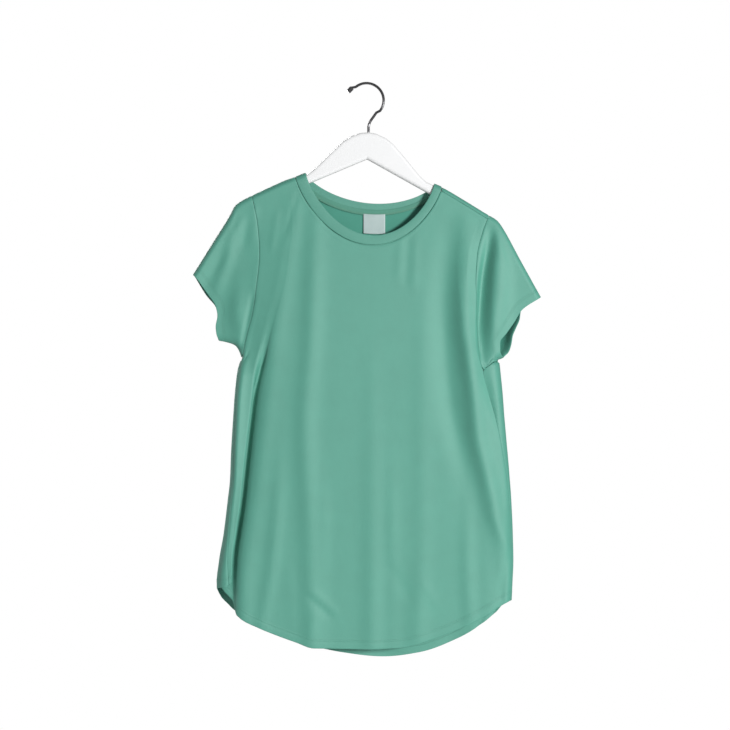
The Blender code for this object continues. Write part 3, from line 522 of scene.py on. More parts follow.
# The front's pleat: z, its edge, how far it is folded under, and how deep
pleat = {
    "rows": [
        (-150, -117.6, 0, 0), (-207.2, -117.3, 0, 0.2), (-251.5, -124.6, 0, 0.3),
        (-295.7, -132, 0, 0.4), (-340, -143.8, 0, 0.6), (-384.2, -154.7, 0, 2.4),
        (-418.2, -162, 0.8, 9), (-472.7, -168.8, 3.4, 13), (-555.3, -178.3, 6.4, 15),
        (-617.3, -184.9, 9.8, 15), (-658.6, -191, 12, 15), (-697, -196.4, 14, 13),
        (-733, -198.2, 16.5, 10),
    ],
    # across it: place when flat, place when shut as a share of the fold and in mm, share of depth
    "across": [
        (-1, 0, -1.2, 0), (0.6, 0, 0.2, 0.17), (2.2, -0.04, -1, 0.34),
        (3.8, -0.92, 0.4, 0.62), (5.4, -1, -0.6, 0.80), (7, -0.92, 1, 0.97),
        (9, 0, 1.6, 1), (10.4, 0, 4.2, 0.86), (12.5, 0, 8.4, 0.42),
    ],
    "tail": 11,  # the front beside it sinks less and less over this length
    "narrowed": (0.5, -150, -290),  # share of its width at the top, and where it widens
    "shut": (-400, -470),
    "shows": (4, 5.6),  # places where its hem passes from behind the fold to the front's hem
    "finer": 3,
}
pleatEdge, pleatUnder, pleatDepth = columnLines(pleat["rows"])
pleatLines = columnLines([(k, *row) for k, row in enumerate(pleat["across"])])

# Hems: x and z of the cut edge
hems = {
    front: [
        (-214.8, -740), (-206, -750.5), (-196.9, -759.2), (-190.1, -780.4),
        (-154.1, -800.2), (-102.5, -820), (-77.4, -828), (5.9, -829.7), (46.5, -828.1),
        (91.6, -816.9), (133.5, -801), (174.2, -781), (206.1, -761.5), (214, -758.6),
    ],
    back: [
        (-220.5, -743.5), (-215.6, -757), (-205.5, -768.5), (-190.1, -782),
        (-140, -810), (-77.4, -831.6), (-36.1, -840), (25.8, -846.3), (77.4, -840),
        (136.4, -818.8), (187.3, -785), (206.1, -765.5), (214, -759.4),
    ],
    "stripSeam": -735.6,
    "stripEdge": -733.4,
    "turnUp": 13,
    "stitchRows": (10.4, 13),
    "slopeReach": 4,
    "rise": 0.35,
    "fold": (13.2, 14.4),  # heights above the cut edge between which the turned-up cloth ends
    "lip": (-0.6, 0.9),
    "groove": (0.28, 0.7),  # depth and half width of the dent along a row of stitches
}
hemLine = {face: curve(hems[face]) for face in (front, back)}

# Rows down a panel, and steps in from a seam
rowPlan = {
    "upper": 58,
    "even": 0.35,  # share of the upper rows' spacing that stays even
    "settle": 4,
    "steepest": 1.9,
    "wrapped": 40,  # rows this near to the top are set by their way round the hanger's arm
    "lower": 82,
    "hem": [16, 14.6, 13.7, 13, 12.3, 11.4, 10.4, 9.5, 6.5, 3, 0.9, 0.0],
    "seam": [0, 0.5, 1.1, 1.9, 3.0],
}


# distance in from a seam of one of the steps across a width
def inward(step, count, width):
    seam = rowPlan["seam"]
    if step < len(seam):
        return seam[step]
    return mix(seam[-1], width, (step - len(seam) + 1) / (count - len(seam) + 1))


def upperArcs(start, end):
    count = rowPlan["upper"]
    even = rowPlan["even"]
    first = start + rowPlan["seam"][-1]
    shares = [even * k / count + (1 - even) * (k / count) ** 2 for k in range(1, count + 1)]
    return [start + step for step in rowPlan["seam"]] + [mix(first, end, share) for share in shares]


# how far the turned-up hem stands out, this far above the cut edge
def hemRise(above):
    out = hems["rise"] * (1 - ease(above, *hems["fold"])) * ease(above, *hems["lip"])
    depth, width = hems["groove"]
    return out - depth * sum(bell(above - row, width) for row in hems["stitchRows"])


# one column of a panel. A route gives x, inset, whether it is on the far face, and how sunk.
def panelColumn(route, startArc, face, armpitZ, hemZ, slope):
    armpitX = route(armpitZ)[0]
    endArc = bentArc((topLine(armpitX) - armpitZ) * lean(armpitX), "wrap")
    (x0, z0), (x1, z1) = neckEnds
    x = route(mix(z0, z1, min(1, max(0, (armpitX - x0) / (x1 - x0)))))[0]
    points = []
    arcs = upperArcs(startArc, endArc)
    last = max(k for k, arc in enumerate(arcs) if arc < startArc + rowPlan["wrapped"])
    for k, arc in enumerate(arcs):
        if k <= last:
            for settle in range(rowPlan["settle"]):
                z = topLine(x) - bentIn(abs(arc), "wrap") / lean(x)
                x = route(z)[0]
            lastZ = z
        else:
            z = mix(lastZ, armpitZ, (arc - arcs[last]) / (endArc - arcs[last]))
        points.append(spotPoint(route(z), z, face if arc >= 0 else -face))
    stretch = min(rowPlan["steepest"], math.hypot(1, slope))
    top = hemZ + rowPlan["hem"][0] * stretch
    count, far = rowPlan["lower"], outlinePlan["far"]
    heights = [(mix(armpitZ, top, k / count), far) for k in range(1, count)]
    heights += [(hemZ + above * stretch, above) for above in rowPlan["hem"]]
    for z, above in heights:
        points.append(spotPoint(route(z), z, face, hemRise(above)))
    return points


def spotPoint(spot, z, face, rise=0.0):
    x, inset, turned, sunk = spot
    return clothPoint(x, z, -face if turned else face, inset, sunk - rise)


def shoulderArc(side):
    return bentArc(neck["shoulderDrop"][side], "wrap")


def ringDepth(ring, face):
    return ring[2] if face < 0 else ring[3]


def ringDrop(ring, angle, face):
    return ringDepth(ring, face) * abs(math.sin(angle)) ** neck["round"]


def ringArc(ring, angle, face):
    return bentArc(ringDrop(ring, angle, face), "wrap")


def ringX(ring, angle):
    return ring[0] - ring[1] * math.cos(angle)


def ringAngle(ring, drop, face):
    return math.asin((drop / ringDepth(ring, face)) ** (1 / neck["round"]))


# x and arc of the columns that start at the neck
def ringStarts(face, first, final, count):
    angles = [mix(first, final, k / count) for k in range(1, count)]
    return [(ringX(panelRing, angle), ringArc(panelRing, angle, face)) for angle in angles]


# a route that starts at an x and arc and spreads evenly between two others
def spreadRoute(startX, arc, lowShare, leftEdge, rightEdge):
    startZ = topLine(startX) - bentIn(abs(arc), "wrap") / lean(startX)
    left, right = leftEdge(startZ)[0], rightEdge(startZ)[0]
    topShare = (startX - left) / (right - left)

    def route(z):
        share = mix(topShare, lowShare, ease(z, startZ, shirt["spread"]))
        spot = leftEdge(z)
        x = mix(spot[0], rightEdge(z)[0], share)
        return x, None, False, spot[3] * math.exp((spot[0] - x) / pleat["tail"])

    return route


panels = {
    "stripSteps": 14,
    "frontEdge": (9, 24.0, 14.0),  # columns beside the side seam, their reach, and past the seam
    "backEdge": (14, 24.0),
    "frontNeck": 62,
    "backNeck": 44,
    "frontShoulder": (10, 156.0),  # columns beyond the neck, and the x that they reach
    "backShoulder": (9, -146.0, 154.0),
    "crowding": 0.28,
    "evenAbove": 70.0,  # over this height above the armpit the back's edge columns even out
    # heights at which a column's place is read for its armpit, its hem and the side's hem
    "armpitRead": {front: -413.0, back: -405.0},
    "hemRead": {front: -770.0, back: -820.0},
    "sideRead": -745.0,
}


# height of a column's armpit row, between those of the right and the left armpit
def armpitLevel(route, face, leftX, leftZ):
    rightX = shirt["body"][0][1]
    share = (route(panels["armpitRead"][face])[0] - rightX) / (leftX - rightX)
    return mix(shirt["armpit"][-1], leftZ, min(1.0, max(0.0, share)))


def hemAt(face, x):
    return hemLine[face](x), slopeOf(hemLine[face], x, hems["slopeReach"])


# Routes by step in from a panel's edge: the strip beside the pleat, the front's left, the back's
def stripSpot(step, z):
    count, edge = panels["stripSteps"], pleatEdge(z) + pleat["across"][0][2]
    if z >= shirt["armpit"][-1]:
        seam = armholeLine[-1, front](z) + halfGap
        return seam + inward(step, count, edge - seam), None, False, 0.0
    outline = bodyEdge[-1](z)
    seam = bentArc(bodySeam[-1](z), "side") + halfGap
    inset = bentIn(seam + inward(step, count, bentArc(edge - outline, "side") - seam), "side")
    return outline + inset, inset, False, 0.0


def frontEdgeSpot(step, z):
    count, reach, past = panels["frontEdge"]
    if z >= shirt["frontArmpit"]:
        seam = armholeLine[1, front](z) - halfGap
        return seam - inward(step, count, bentIn(reach, "side")), None, False, 0.0
    seam = bentArc(bodySeam[1](z), "side") + halfGap
    inset = bentIn(seam + inward(step, count, max(reach, seam + past) - seam), "side")
    return bodyEdge[1](z) - inset, inset, False, 0.0


def backEdgeSpot(side, step, z):
    (count, reach), low = panels["backEdge"], shirt["armpit"][side]
    if z >= low:
        even = inward(step, count, bentIn(reach, "side"))
        bent = bentIn(inward(step, count, reach), "side")
        inset = mix(even, bent, ease(z, low + panels["evenAbove"], low))
        return armholeLine[side, back](z) - side * (inset + halfGap), None, False, 0.0
    seam = max(0.0, bentArc(bodySeam[side](z), "side") - halfGap)
    arc = inward(step, count, reach + seam) - seam
    inset = bentIn(abs(arc), "side")
    return bodyEdge[side](z) - side * inset, inset, arc < 0, 0.0


# the same by place across the pleat
def pleatSpot(place, z):
    flatAt, foldShare, foldShift, depthShare = (line(place) for line in pleatLines)
    narrow, *widens = pleat["narrowed"]
    flat = flatAt * mix(narrow, 1.0, ease(z, *widens))
    shut = foldShare * pleatUnder(z) + foldShift
    x = pleatEdge(z) + mix(flat, shut, ease(z, *pleat["shut"]))
    inset = x - bodyEdge[-1](z) if z < shirt["armpit"][-1] else None
    return x, inset, False, pleatDepth(z) * depthShare


def frontColumns():
    columns, hemRead = [], panels["hemRead"][front]
    arcs = {side: shoulderArc(side) + shirt["shoulderGap"] / 2 for side in (-1, 1)}

    def add(route, arc, hemZ=None):
        hem = hemAt(front, route(hemRead)[0]) if hemZ is None else (hemZ, 0.0)
        armpitZ = armpitLevel(route, front, armholeRows[1][-1][1], shirt["frontArmpit"])
        columns.append(panelColumn(route, arc, front, armpitZ, *hem))

    for step in range(panels["stripSteps"]):
        share = step / panels["stripSteps"]
        add(partial(stripSpot, step), arcs[-1], mix(hems["stripSeam"], hems["stripEdge"], share))
    last = len(pleat["across"]) - 1
    for k in range(last * pleat["finer"] + 1):
        place = k / pleat["finer"]
        route = partial(pleatSpot, place)
        hidden = mix(hems["stripEdge"], hems[front][0][1], -pleatLines[1](place))
        shown = hemLine[front](route(hemRead)[0])
        add(route, arcs[-1], mix(hidden, shown, ease(place, *pleat["shows"])))
    edgeSteps = panels["frontEdge"][0]
    left, right = partial(pleatSpot, last), partial(frontEdgeSpot, edgeSteps)
    ring, drops = neck["seam"], neck["shoulderDrop"]
    first, final = ringAngle(ring, drops[-1], front), math.pi - ringAngle(ring, drops[1], front)
    starts = [(neckEnds[0][0] - halfGap, arcs[-1])]
    starts += ringStarts(front, first, final, panels["frontNeck"])
    start, (count, end) = neckEnds[1][0] + halfGap, panels["frontShoulder"]
    starts += [(mix(start, end, k / count), arcs[1]) for k in range(count)]
    for k, (x, arc) in enumerate(starts):
        share = (k + 1) / (len(starts) + 1)
        share += panels["crowding"] * share * (1 - share)
        add(spreadRoute(x, arc, share, left, right), arc)
    for step in range(edgeSteps, -1, -1):
        add(partial(frontEdgeSpot, step), arcs[1])
    return columns


def backColumns():
    columns, sideRead = [], panels["sideRead"]
    arcs = {side: -shoulderArc(side) + shirt["shoulderGap"] / 2 for side in (-1, 1)}
    steps = panels["backEdge"][0]
    turnedSteps = sum(backEdgeSpot(-1, step, sideRead)[2] for step in range(steps + 1))

    def addEdge(side, step):
        route = partial(backEdgeSpot, side, step)
        hem = hemAt(back, route(sideRead)[0])
        if side < 0 and route(sideRead)[2]:
            hem = mix(hems["stripSeam"], hems[back][0][1], step / turnedSteps), 0.0
        columns.append(panelColumn(route, arcs[side], back, shirt["armpit"][side], *hem))

    for step in range(steps + 1):
        addEdge(-1, step)
    left, right = (partial(backEdgeSpot, side, steps) for side in (-1, 1))
    count, first, final = panels["backShoulder"]
    ends = neckEnds[0][0] - halfGap, neckEnds[1][0] + halfGap
    starts = [(mix(first, ends[0], k / count), arcs[-1]) for k in range(count + 1)]
    starts += ringStarts(back, 0, math.pi, panels["backNeck"])
    starts += [(mix(ends[1], final, k / count), arcs[1]) for k in range(count + 1)]
    for k, (x, arc) in enumerate(starts):
        route = spreadRoute(x, arc, (k + 1) / (len(starts) + 1), left, right)
        lowZ = armpitLevel(route, back, shirt["body"][0][2], shirt["armpit"][1])
        hem = hemAt(back, route(panels["hemRead"][back])[0])
        columns.append(panelColumn(route, arc, back, lowZ, *hem))
    for step in range(steps, -1, -1):
        addEdge(1, step)
    return columns


sleeves = {
    "around": 52,
    "along": 40,
    "rows": 22,
    "gap": 0.3,
    "armholeSteps": 40,
    "crowding": 0.85,
    "shortest": 23.0,  # rows of a line shorter than this are squeezed
    # the back of the left cuff curls forward at its edge and sags behind it: depth, width
    "curl": (9.0, 7),
    "sag": (5.5, 14),
    "sagAt": 20,
    "curlFade": (0.1, 0.6),
}


def cuffCurl(away):
    (curl, curlWidth), (sag, sagWidth) = sleeves["curl"], sleeves["sag"]
    return sag * bell(away - sleeves["sagAt"], sagWidth) - curl * bell(away, curlWidth)


def sleeveColumns(side):
    under = path(underarms[side])
    ends = {}
    for face in (front, back):
        corner = frontCorner if side > 0 and face < 0 else []
        top = armholeRows[side][0][0]
        low = corner[0][1] if corner else underarms[side][0][1]
        count = sleeves["armholeSteps"]
        levels = [mix(top, low, k / count) for k in range(count)]
        chain = [(armholeLine[side, face](z) + side * sleeves["gap"], z) for z in levels]
        chain[0] = (chain[0][0], topLine(chain[0][0]))
        ends[face] = chain + corner + [underarms[side][0]], cuffs[side, face]
    paths = {face: (path(chain), path(cuff)) for face, (chain, cuff) in ends.items()}

    def ring(out):
        points = []
        for face in (front, back):
            chain, cuff = ends[face]
            chainPath, cuffPath = paths[face]
            topX = mix(chain[0][0], cuff[0][0], out)
            topShift = Vector((topX, topLine(topX))) - Vector(chain[0]).lerp(Vector(cuff[0]), out)
            lowShift = under(out) - Vector(chain[-1]).lerp(Vector(cuff[-1]), out)
            count = sleeves["around"]
            steps = range(count + 1) if face < 0 else range(count - 1, 0, -1)
            for k in steps:
                share = crowded(k / count, sleeves["crowding"])
                across = chainPath(share).lerp(cuffPath(share), out)
                place = across + topShift * (1 - share) + lowShift * share
                point = clothPoint(place.x, place.y, face)
                if side > 0 and face > 0:
                    away = (1 - out) * (chainPath(share) - cuffPath(share)).length
                    fade = math.sqrt(max(0.0, math.sin(math.pi * share)))
                    point.y += cuffCurl(away) * fade * ease(out, *sleeves["curlFade"])
                points.append(point)
        return points

    count = sleeves["along"]
    rings = [ring(k / count) for k in range(count + 1)]
    columns = [cuffRows(list(line)) for line in zip(*rings)]
    if side > 0:
        columns.reverse()
    return columns


# the same line with its rows set by their distance from the armhole and from the cuff's edge
def cuffRows(line):
    places = lengths(line)
    length = places[-1]
    squeeze = min(1.0, length / sleeves["shortest"])
    seam, hem = ([step * squeeze for step in rowPlan[name]] for name in ("seam", "hem"))
    count = sleeves["rows"]
    first, last = seam[-1], length - hem[0]
    wanted = list(seam) + [mix(first, last, k / count) for k in range(1, count)]
    wanted += [length - above for above in hem]
    rows = []
    for place in wanted:
        k = min(len(line) - 2, max(0, bisect.bisect_right(places, place) - 1))
        share = (place - places[k]) / (places[k + 1] - places[k])
        rows.append(line[k].lerp(line[k + 1], min(1.0, max(0.0, share))))
    return rows


# Edges roll in a little at a seam, and its allowance shows as a faint ridge beside it
seamRoll = {"roll": (0.3, 1.0), "ridge": (0.16, 1.4), "ridgeAt": 5.0}  # depth and width


# outward directions at the points of a sheet
def outwards(columns, closed=False):
    count, rows = len(columns), len(columns[0])
    normals, total = [], 0.0
    for i, column in enumerate(columns):
        a = columns[i - 1] if i or closed else column
        b = columns[(i + 1) % count] if i + 1 < count or closed else column
        line = []
        for j, point in enumerate(column):
            down = column[min(rows - 1, j + 1)] - column[max(0, j - 1)]
            normal = (b[j] - a[j]).cross(down)
            normal.normalize()
            total += normal.y * point.y
            line.append(normal)
        normals.append(line)
    sign = 1 if total > 0 else -1
    return [[sign * normal for normal in line] for line in normals]


def rollEdges(columns, sides=True, closed=False):
    normals = outwards(columns, closed)
    across = [lengths(row) for row in zip(*columns)]
    (depth, width), (ridge, ridgeWidth) = seamRoll["roll"], seamRoll["ridge"]
    rolled = []
    for i, column in enumerate(columns):
        fromTop = lengths(column)
        line = []
        for j, point in enumerate(column):
            away = fromTop[j]
            if sides:
                away = min(away, across[j][i], across[j][-1] - across[j][i])
            roll = depth * bell(away, width) - ridge * bell(away - seamRoll["ridgeAt"], ridgeWidth)
            line.append(point - normals[i][j] * roll)
        rolled.append(line)
    return rolled


def moveIn(columns, depth):
    return [
        [point - normal * depth for point, normal in zip(*lines)]
        for lines in zip(columns, outwards(columns))
    ]


# columns of points, from a function of the shares of the way across and down
def gridOf(across, down, point):
    return [[point(k / across, n / down) for n in range(down + 1)] for k in range(across + 1)]


print("forms ready")


def newMaterial(name):
    made = bpy.data.materials.new(name)
    made.use_nodes = True
    return made, made.node_tree, made.node_tree.nodes["Principled BSDF"]


def addNode(tree, kind, **settings):
    node = tree.nodes.new(kind)
    for name, value in settings.items():
        if name in node.inputs:
            node.inputs[name].default_value = value
        else:
            setattr(node, name, value)
    return node


def mathNode(tree, operation, a, b=None):
    node = tree.nodes.new("ShaderNodeMath")
    node.operation = operation
    for socket, value in zip(node.inputs, (a, b)):
        if value is None:
            continue
        if isinstance(value, (int, float)):
            socket.default_value = value
        else:
            tree.links.new(value, socket)
    return node.outputs[0]


# a texture that reads Object or UV coordinates
def addTexture(tree, kind, where, **settings):
    coords = addNode(tree, "ShaderNodeTexCoord")
    texture = addNode(tree, kind, **settings)
    tree.links.new(coords.outputs[where], texture.inputs["Vector"])
    return texture.outputs[0]


def addBump(tree, shader, height, strength, distance):
    bump = addNode(tree, "ShaderNodeBump", Strength=strength, Distance=distance)
    tree.links.new(height, bump.inputs["Height"])
    tree.links.new(bump.outputs[0], shader.inputs["Normal"])


def addColours(tree, shader, factor, colours, places=(0.0, 1.0)):
    ramp = addNode(tree, "ShaderNodeValToRGB")
    for stop, place, colour in zip(ramp.color_ramp.elements, places, colours):
        stop.position = place
        stop.color = (*colour, 1)
    tree.links.new(factor, ramp.inputs[0])
    tree.links.new(ramp.outputs[0], shader.inputs["Base Color"])


def addRoughness(tree, shader, factor, low, high):
    rough = addNode(tree, "ShaderNodeMapRange", **{"To Min": low, "To Max": high})
    tree.links.new(factor, rough.inputs[0])
    tree.links.new(rough.outputs[0], shader.inputs["Roughness"])


def setInputs(shader, values):
    for name, value in values.items():
        shader.inputs[name].default_value = value


def scaled(colour, level):
    return tuple(part * level for part in colour)


jersey = {
    "colour": (0.088, 0.348, 0.262),
    "reverse": ((0.083, 0.325, 0.245), 0.1),  # colour and specular level
    "bandColour": (0.082, 0.328, 0.246),
    "tape": ((0.098, 0.31, 0.23), 0.2),
    "specular": 0.61,
    "shader": {"Roughness": 0.6, "Sheen Weight": 0.05, "Sheen Roughness": 0.5, "IOR": 1.6},
    "wale": 0.00062,
    "course": 0.00048,
    "slant": 1.4,
    "stitchHeight": 0.35,
    "bump": (0.28, 0.00012),
    "mottle": 0.025,
    "mottleNoise": {"Scale": 38.0, "Detail": 3.0, "Roughness": 0.6},
    "mottlePlaces": (0.3, 0.7),
}


# Smooth knitted cotton: wales with small V stitches, and a faint unevenness of the dye
def jerseyMaterial(name, colour, specular=jersey["specular"]):
    made, tree, shader = newMaterial(name)
    coords = addNode(tree, "ShaderNodeTexCoord")
    parts = addNode(tree, "ShaderNodeSeparateXYZ")
    tree.links.new(coords.outputs["UV"], parts.inputs[0])
    across = mathNode(tree, "DIVIDE", parts.outputs[0], jersey["wale"])
    down = mathNode(tree, "DIVIDE", parts.outputs[1], jersey["course"])
    leg = mathNode(tree, "PINGPONG", across, 0.5)
    slant = mathNode(tree, "ADD", down, mathNode(tree, "MULTIPLY", leg, jersey["slant"]))
    stitch = mathNode(tree, "SINE", mathNode(tree, "MULTIPLY", slant, 2 * math.pi))
    wale = mathNode(tree, "SINE", mathNode(tree, "MULTIPLY", leg, 2 * math.pi))
    low = mathNode(tree, "MULTIPLY", stitch, jersey["stitchHeight"])
    addBump(tree, shader, mathNode(tree, "ADD", low, wale), *jersey["bump"])
    noise = addTexture(tree, "ShaderNodeTexNoise", "Object", **jersey["mottleNoise"])
    colours = [scaled(colour, 1 + sign * jersey["mottle"]) for sign in (-1, 1)]
    addColours(tree, shader, noise, colours, jersey["mottlePlaces"])
    setInputs(shader, {"Specular IOR Level": specular, **jersey["shader"]})
    return made


thread = {"hem": (0.085, 0.31, 0.235), "tape": (0.15, 0.31, 0.2), "levels": (0.85, 1.1)}


def threadFinish(kind):
    colours = [scaled(thread[kind], level) for level in thread["levels"]]
    return {
        "colours": ("Wave", "Object", {"Scale": 900.0, "Distortion": 1.5}, colours),
        "shader": {"Roughness": 0.6, "Sheen Weight": 0.2},
    }


# Other finishes: a texture, its coordinates and settings, and then what it drives
finishes = {
    "hem thread": threadFinish("hem"),
    "tape thread": threadFinish("tape"),
    "label satin": {
        "colours": (
            "Noise", "Object", {"Scale": 90.0, "Detail": 2.0},
            [(0.40, 0.52, 0.51), (0.52, 0.63, 0.62)],
        ),
        "bump": (
            "Wave", "UV", {"Scale": 420.0, "Distortion": 0.6, "bands_direction": "Y"},
            0.15, 0.0001,
        ),
        "shader": {"Roughness": 0.42, "Sheen Weight": 0.3},
    },
    "white plastic": {
        "bump": ("Noise", "Object", {"Scale": 160.0, "Detail": 2.0}, 0.05, 0.0002),
        "roughness": (
            "Noise", "Object", {"Scale": 24.0, "Detail": 5.0, "Roughness": 0.7}, 0.26, 0.42,
        ),
        "shader": {
            "Base Color": (0.92, 0.925, 0.93, 1), "Coat Weight": 0.25, "Coat Roughness": 0.2,
        },
    },
    "plated wire": {
        "roughness": ("Noise", "Object", {"Scale": 220.0, "Detail": 3.0}, 0.08, 0.2),
        "shader": {"Base Color": (0.3, 0.3, 0.31, 1), "Metallic": 1.0},
    },
}
drivers = {"colours": addColours, "bump": addBump, "roughness": addRoughness}


def finishMaterial(name):
    made, tree, shader = newMaterial(name)
    for use, plan in finishes[name].items():
        if use == "shader":
            setInputs(shader, plan)
            continue
        kind, where, settings, *values = plan
        texture = addTexture(tree, "ShaderNodeTex" + kind, where, **settings)
        drivers[use](tree, shader, texture, *values)
    return made


bodyJersey = jerseyMaterial("jersey", jersey["colour"])
reverseJersey = jerseyMaterial("jersey reverse", *jersey["reverse"])
bandJersey = jerseyMaterial("band jersey", jersey["bandColour"])
tapeJersey = jerseyMaterial("neck tape", *jersey["tape"])
hemThread = finishMaterial("hem thread")
tapeThread = finishMaterial("tape thread")
print("materials ready")


def addObject(name, data):
    made = bpy.data.objects.new(name, data)
    bpy.context.scene.collection.objects.link(made)
    return made


def addPiece(name, mesh, material, slot, *nodes):
    made = addObject(name, mesh)
    mesh.materials.append(material)
    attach(made, "root")
    if nodes:
        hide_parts(*nodes)
    return made


# The turned-up hem has its own material slot, so that its back shows the right side of the cloth
sheetPlan = {"hemMaterial": 2, "merge": 0.02}


# A sheet from columns of points that run down it. Its UV map is its flat cut, in metres.
def clothSheet(name, columns, wall, material, slot, nodes=(), closed=False, levels=0):
    lines = columns + [columns[0]] if closed else columns
    across, rows = len(lines) - 1, len(lines[0]) - 1
    bm = bmesh.new()
    uv = bm.loops.layers.uv.new("flat")
    bmesh.ops.create_grid(bm, x_segments=across, y_segments=rows, size=0.5)
    low = min(vert.co.x for vert in bm.verts)
    wide = max(vert.co.x for vert in bm.verts) - low
    flat = flatMap(lines)
    turned = rows - len(rowPlan["hem"]) + rowPlan["hem"].index(hems["turnUp"]) + 1
    for face in bm.faces:
        height = min((vert.co.y - low) / wide for vert in face.verts)
        if material == bodyJersey and nodes and rows - round(height * rows) > turned:
            face.material_index = sheetPlan["hemMaterial"]
    for vert in bm.verts:
        i = round((vert.co.x - low) / wide * across)
        j = rows - round((vert.co.y - low) / wide * rows)
        for loop in vert.link_loops:
            loop[uv].uv = flat[i][j]
        vert.co = lines[i][j] * mm
    bmesh.ops.remove_doubles(bm, verts=bm.verts, dist=sheetPlan["merge"] * mm)
    bm.normal_update()
    if sum(face.normal.y * face.calc_center_median().y * face.calc_area() for face in bm.faces) < 0:
        bmesh.ops.reverse_faces(bm, faces=bm.faces)
    mesh = bpy.data.meshes.new(name)
    bm.to_mesh(mesh)
    bm.free()
    mesh.shade_smooth()
    made = addPiece(name, mesh, material, slot, *nodes)
    solid = made.modifiers.new("wall", "SOLIDIFY")
    solid.thickness = wall * mm
    solid.offset = 0.0
    solid.use_quality_normals = True
    if material == bodyJersey:
        for side in (reverseJersey, bodyJersey, bodyJersey):
            mesh.materials.append(side)
        solid.material_offset = 1
    if levels:
        smooth = made.modifiers.new("smooth", "SUBSURF")
        smooth.levels = levels
        smooth.render_levels = levels
    return made


# distances across at two thirds of the way down, and down each column
def flatMap(lines):
    places = lengths([line[len(line) * 2 // 3] for line in lines])
    return [[(u * mm, -v * mm) for v in lengths(line)] for u, line in zip(places, lines)]


stitching = {
    "pitch": 2.7,
    "length": 2.2,
    "radius": 0.24,
    "segments": (6, 4),
    "out": 0.1,
    "loopsIn": 0.3,
    "least": 1e-4,
    "batch": 30,  # stitches joined at a time, which is faster than one by one
}


# stitches along the given rows of a sheet, one small bar for each
def stitches(name, columns, rows, out, closed=False, material=hemThread):
    normals = outwards(columns, closed)
    forms = []
    for row in rows:
        points = [column[row] for column in columns]
        facing = [line[row] for line in normals]
        if closed:
            points.append(points[0])
            facing.append(facing[0])
        places = lengths(points)
        count = int(places[-1] / stitching["pitch"])
        for n in range(count):
            spot = (n + 0.5) * places[-1] / count
            k = min(len(points) - 2, bisect.bisect_right(places, spot) - 1)
            if places[k + 1] - places[k] < stitching["least"]:
                continue
            share = (spot - places[k]) / (places[k + 1] - places[k])
            way = (points[k + 1] - points[k]).normalized()
            where = points[k].lerp(points[k + 1], share) + facing[k] * out
            long = stitching["length"] / 2 / stitching["radius"]
            turn = way.to_track_quat("Z", "Y").to_matrix().to_4x4()
            forms.append(Matrix.Translation(where * mm) @ turn @ Matrix.Diagonal((1, 1, long, 1)))
    whole = bmesh.new()
    around, up = stitching["segments"]
    mesh = bpy.data.meshes.new(name)
    for first in range(0, len(forms), stitching["batch"]):
        batch = bmesh.new()
        for form in forms[first : first + stitching["batch"]]:
            radius = stitching["radius"] * mm
            bmesh.ops.create_uvsphere(
                batch, u_segments=around, v_segments=up, radius=radius, matrix=form
            )
        batch.to_mesh(mesh)
        batch.free()
        whole.from_mesh(mesh)
    whole.to_mesh(mesh)
    whole.free()
    mesh.shade_smooth()
    return addPiece(name, mesh, material, "jersey")


sides = ((-1, "right"), (1, "left"))
hemRows = [rowPlan["hem"].index(above) - len(rowPlan["hem"]) for above in hems["stitchRows"]]
surface = shirt["wall"] / 2 + stitching["out"]


def jerseyPiece(node, columns, closed=False):
    rolled = rollEdges(columns, sides=not closed, closed=closed)
    clothSheet(
        node + "_jersey", rolled, shirt["wall"], bodyJersey, "jersey", [node], closed
    )


frontPoints, backPoints = frontColumns(), backColumns()
sleevePoints = {side: sleeveColumns(side) for side, name in sides}
jerseyPiece("front", frontPoints)
jerseyPiece("back", backPoints)
for side, name in sides:
    jerseyPiece("sleeve_" + name, sleevePoints[side], closed=True)

stitches("front_hem_stitches", frontPoints, hemRows, surface)
stitches("back_hem_stitches", backPoints, hemRows, surface)
stitches(
    "back_hem_loops", backPoints, hemRows, -surface - stitching["loopsIn"]
)
for side, name in sides:
    stitches(
        f"cuff_{name}_stitches", sleevePoints[side], hemRows, surface, closed=True
    )
print("hems stitched")

# Strips of overlocked allowance behind the seams
backing = {
    "half": 3.4,
    "steps": 4,
    "long": {"armhole": 60, "under": 24, "neck": 80, "side": 60},  # steps along each kind
    "under": 1.5,
    "wall": 0.5,
    "ahead": 0.01,  # share of a line over which its direction is read
    "beyond": 0.1,
    "armhole": {-1: range(-180, -392, -12), 1: range(-205, -399, -12)},  # heights of its points
    "side": range(-432, -742, -15),
    "sideIn": 6.0,
    "neck": (math.radians(9), math.radians(171)),
    "neckSteps": 40,
    "underArm": [(169.6, -424.0), *frontCorner, (194.0, -404.6)],
}


# strip on one face along a line of (x, z) points
def seamStrip(name, kind, line, face):
    route, ahead = path(line), backing["ahead"]

    def point(along, across):
        way = route(min(1.0, along + ahead)) - route(max(0.0, along - ahead))
        side = Vector((-way.y, way.x)).normalized()
        spot = route(along) + side * (2 * across - 1) * backing["half"]
        return clothPoint(spot.x, min(spot.y, topLine(spot.x)), face)

    columns = moveIn(gridOf(backing["long"][kind], backing["steps"], point), backing["under"])
    clothSheet(name + "_allowance", columns, backing["wall"], bodyJersey, "jersey")


def armholeStrip(side, face):
    levels = backing["armhole"][side]
    return [(armholeLine[side, face](z) + side * backing["beyond"], z) for z in levels]


def sideLine(side):
    least = backing["sideIn"]
    return [(bodyEdge[side](z) - side * max(least, bodySeam[side](z)), z) for z in backing["side"]]


def neckLine():
    line, count = [], backing["neckSteps"]
    for k in range(count + 1):
        angle = mix(*backing["neck"], k / count)
        x = ringX(neck["seam"], angle)
        line.append((x, topLine(x) - ringDrop(neck["seam"], angle, front)))
    return line


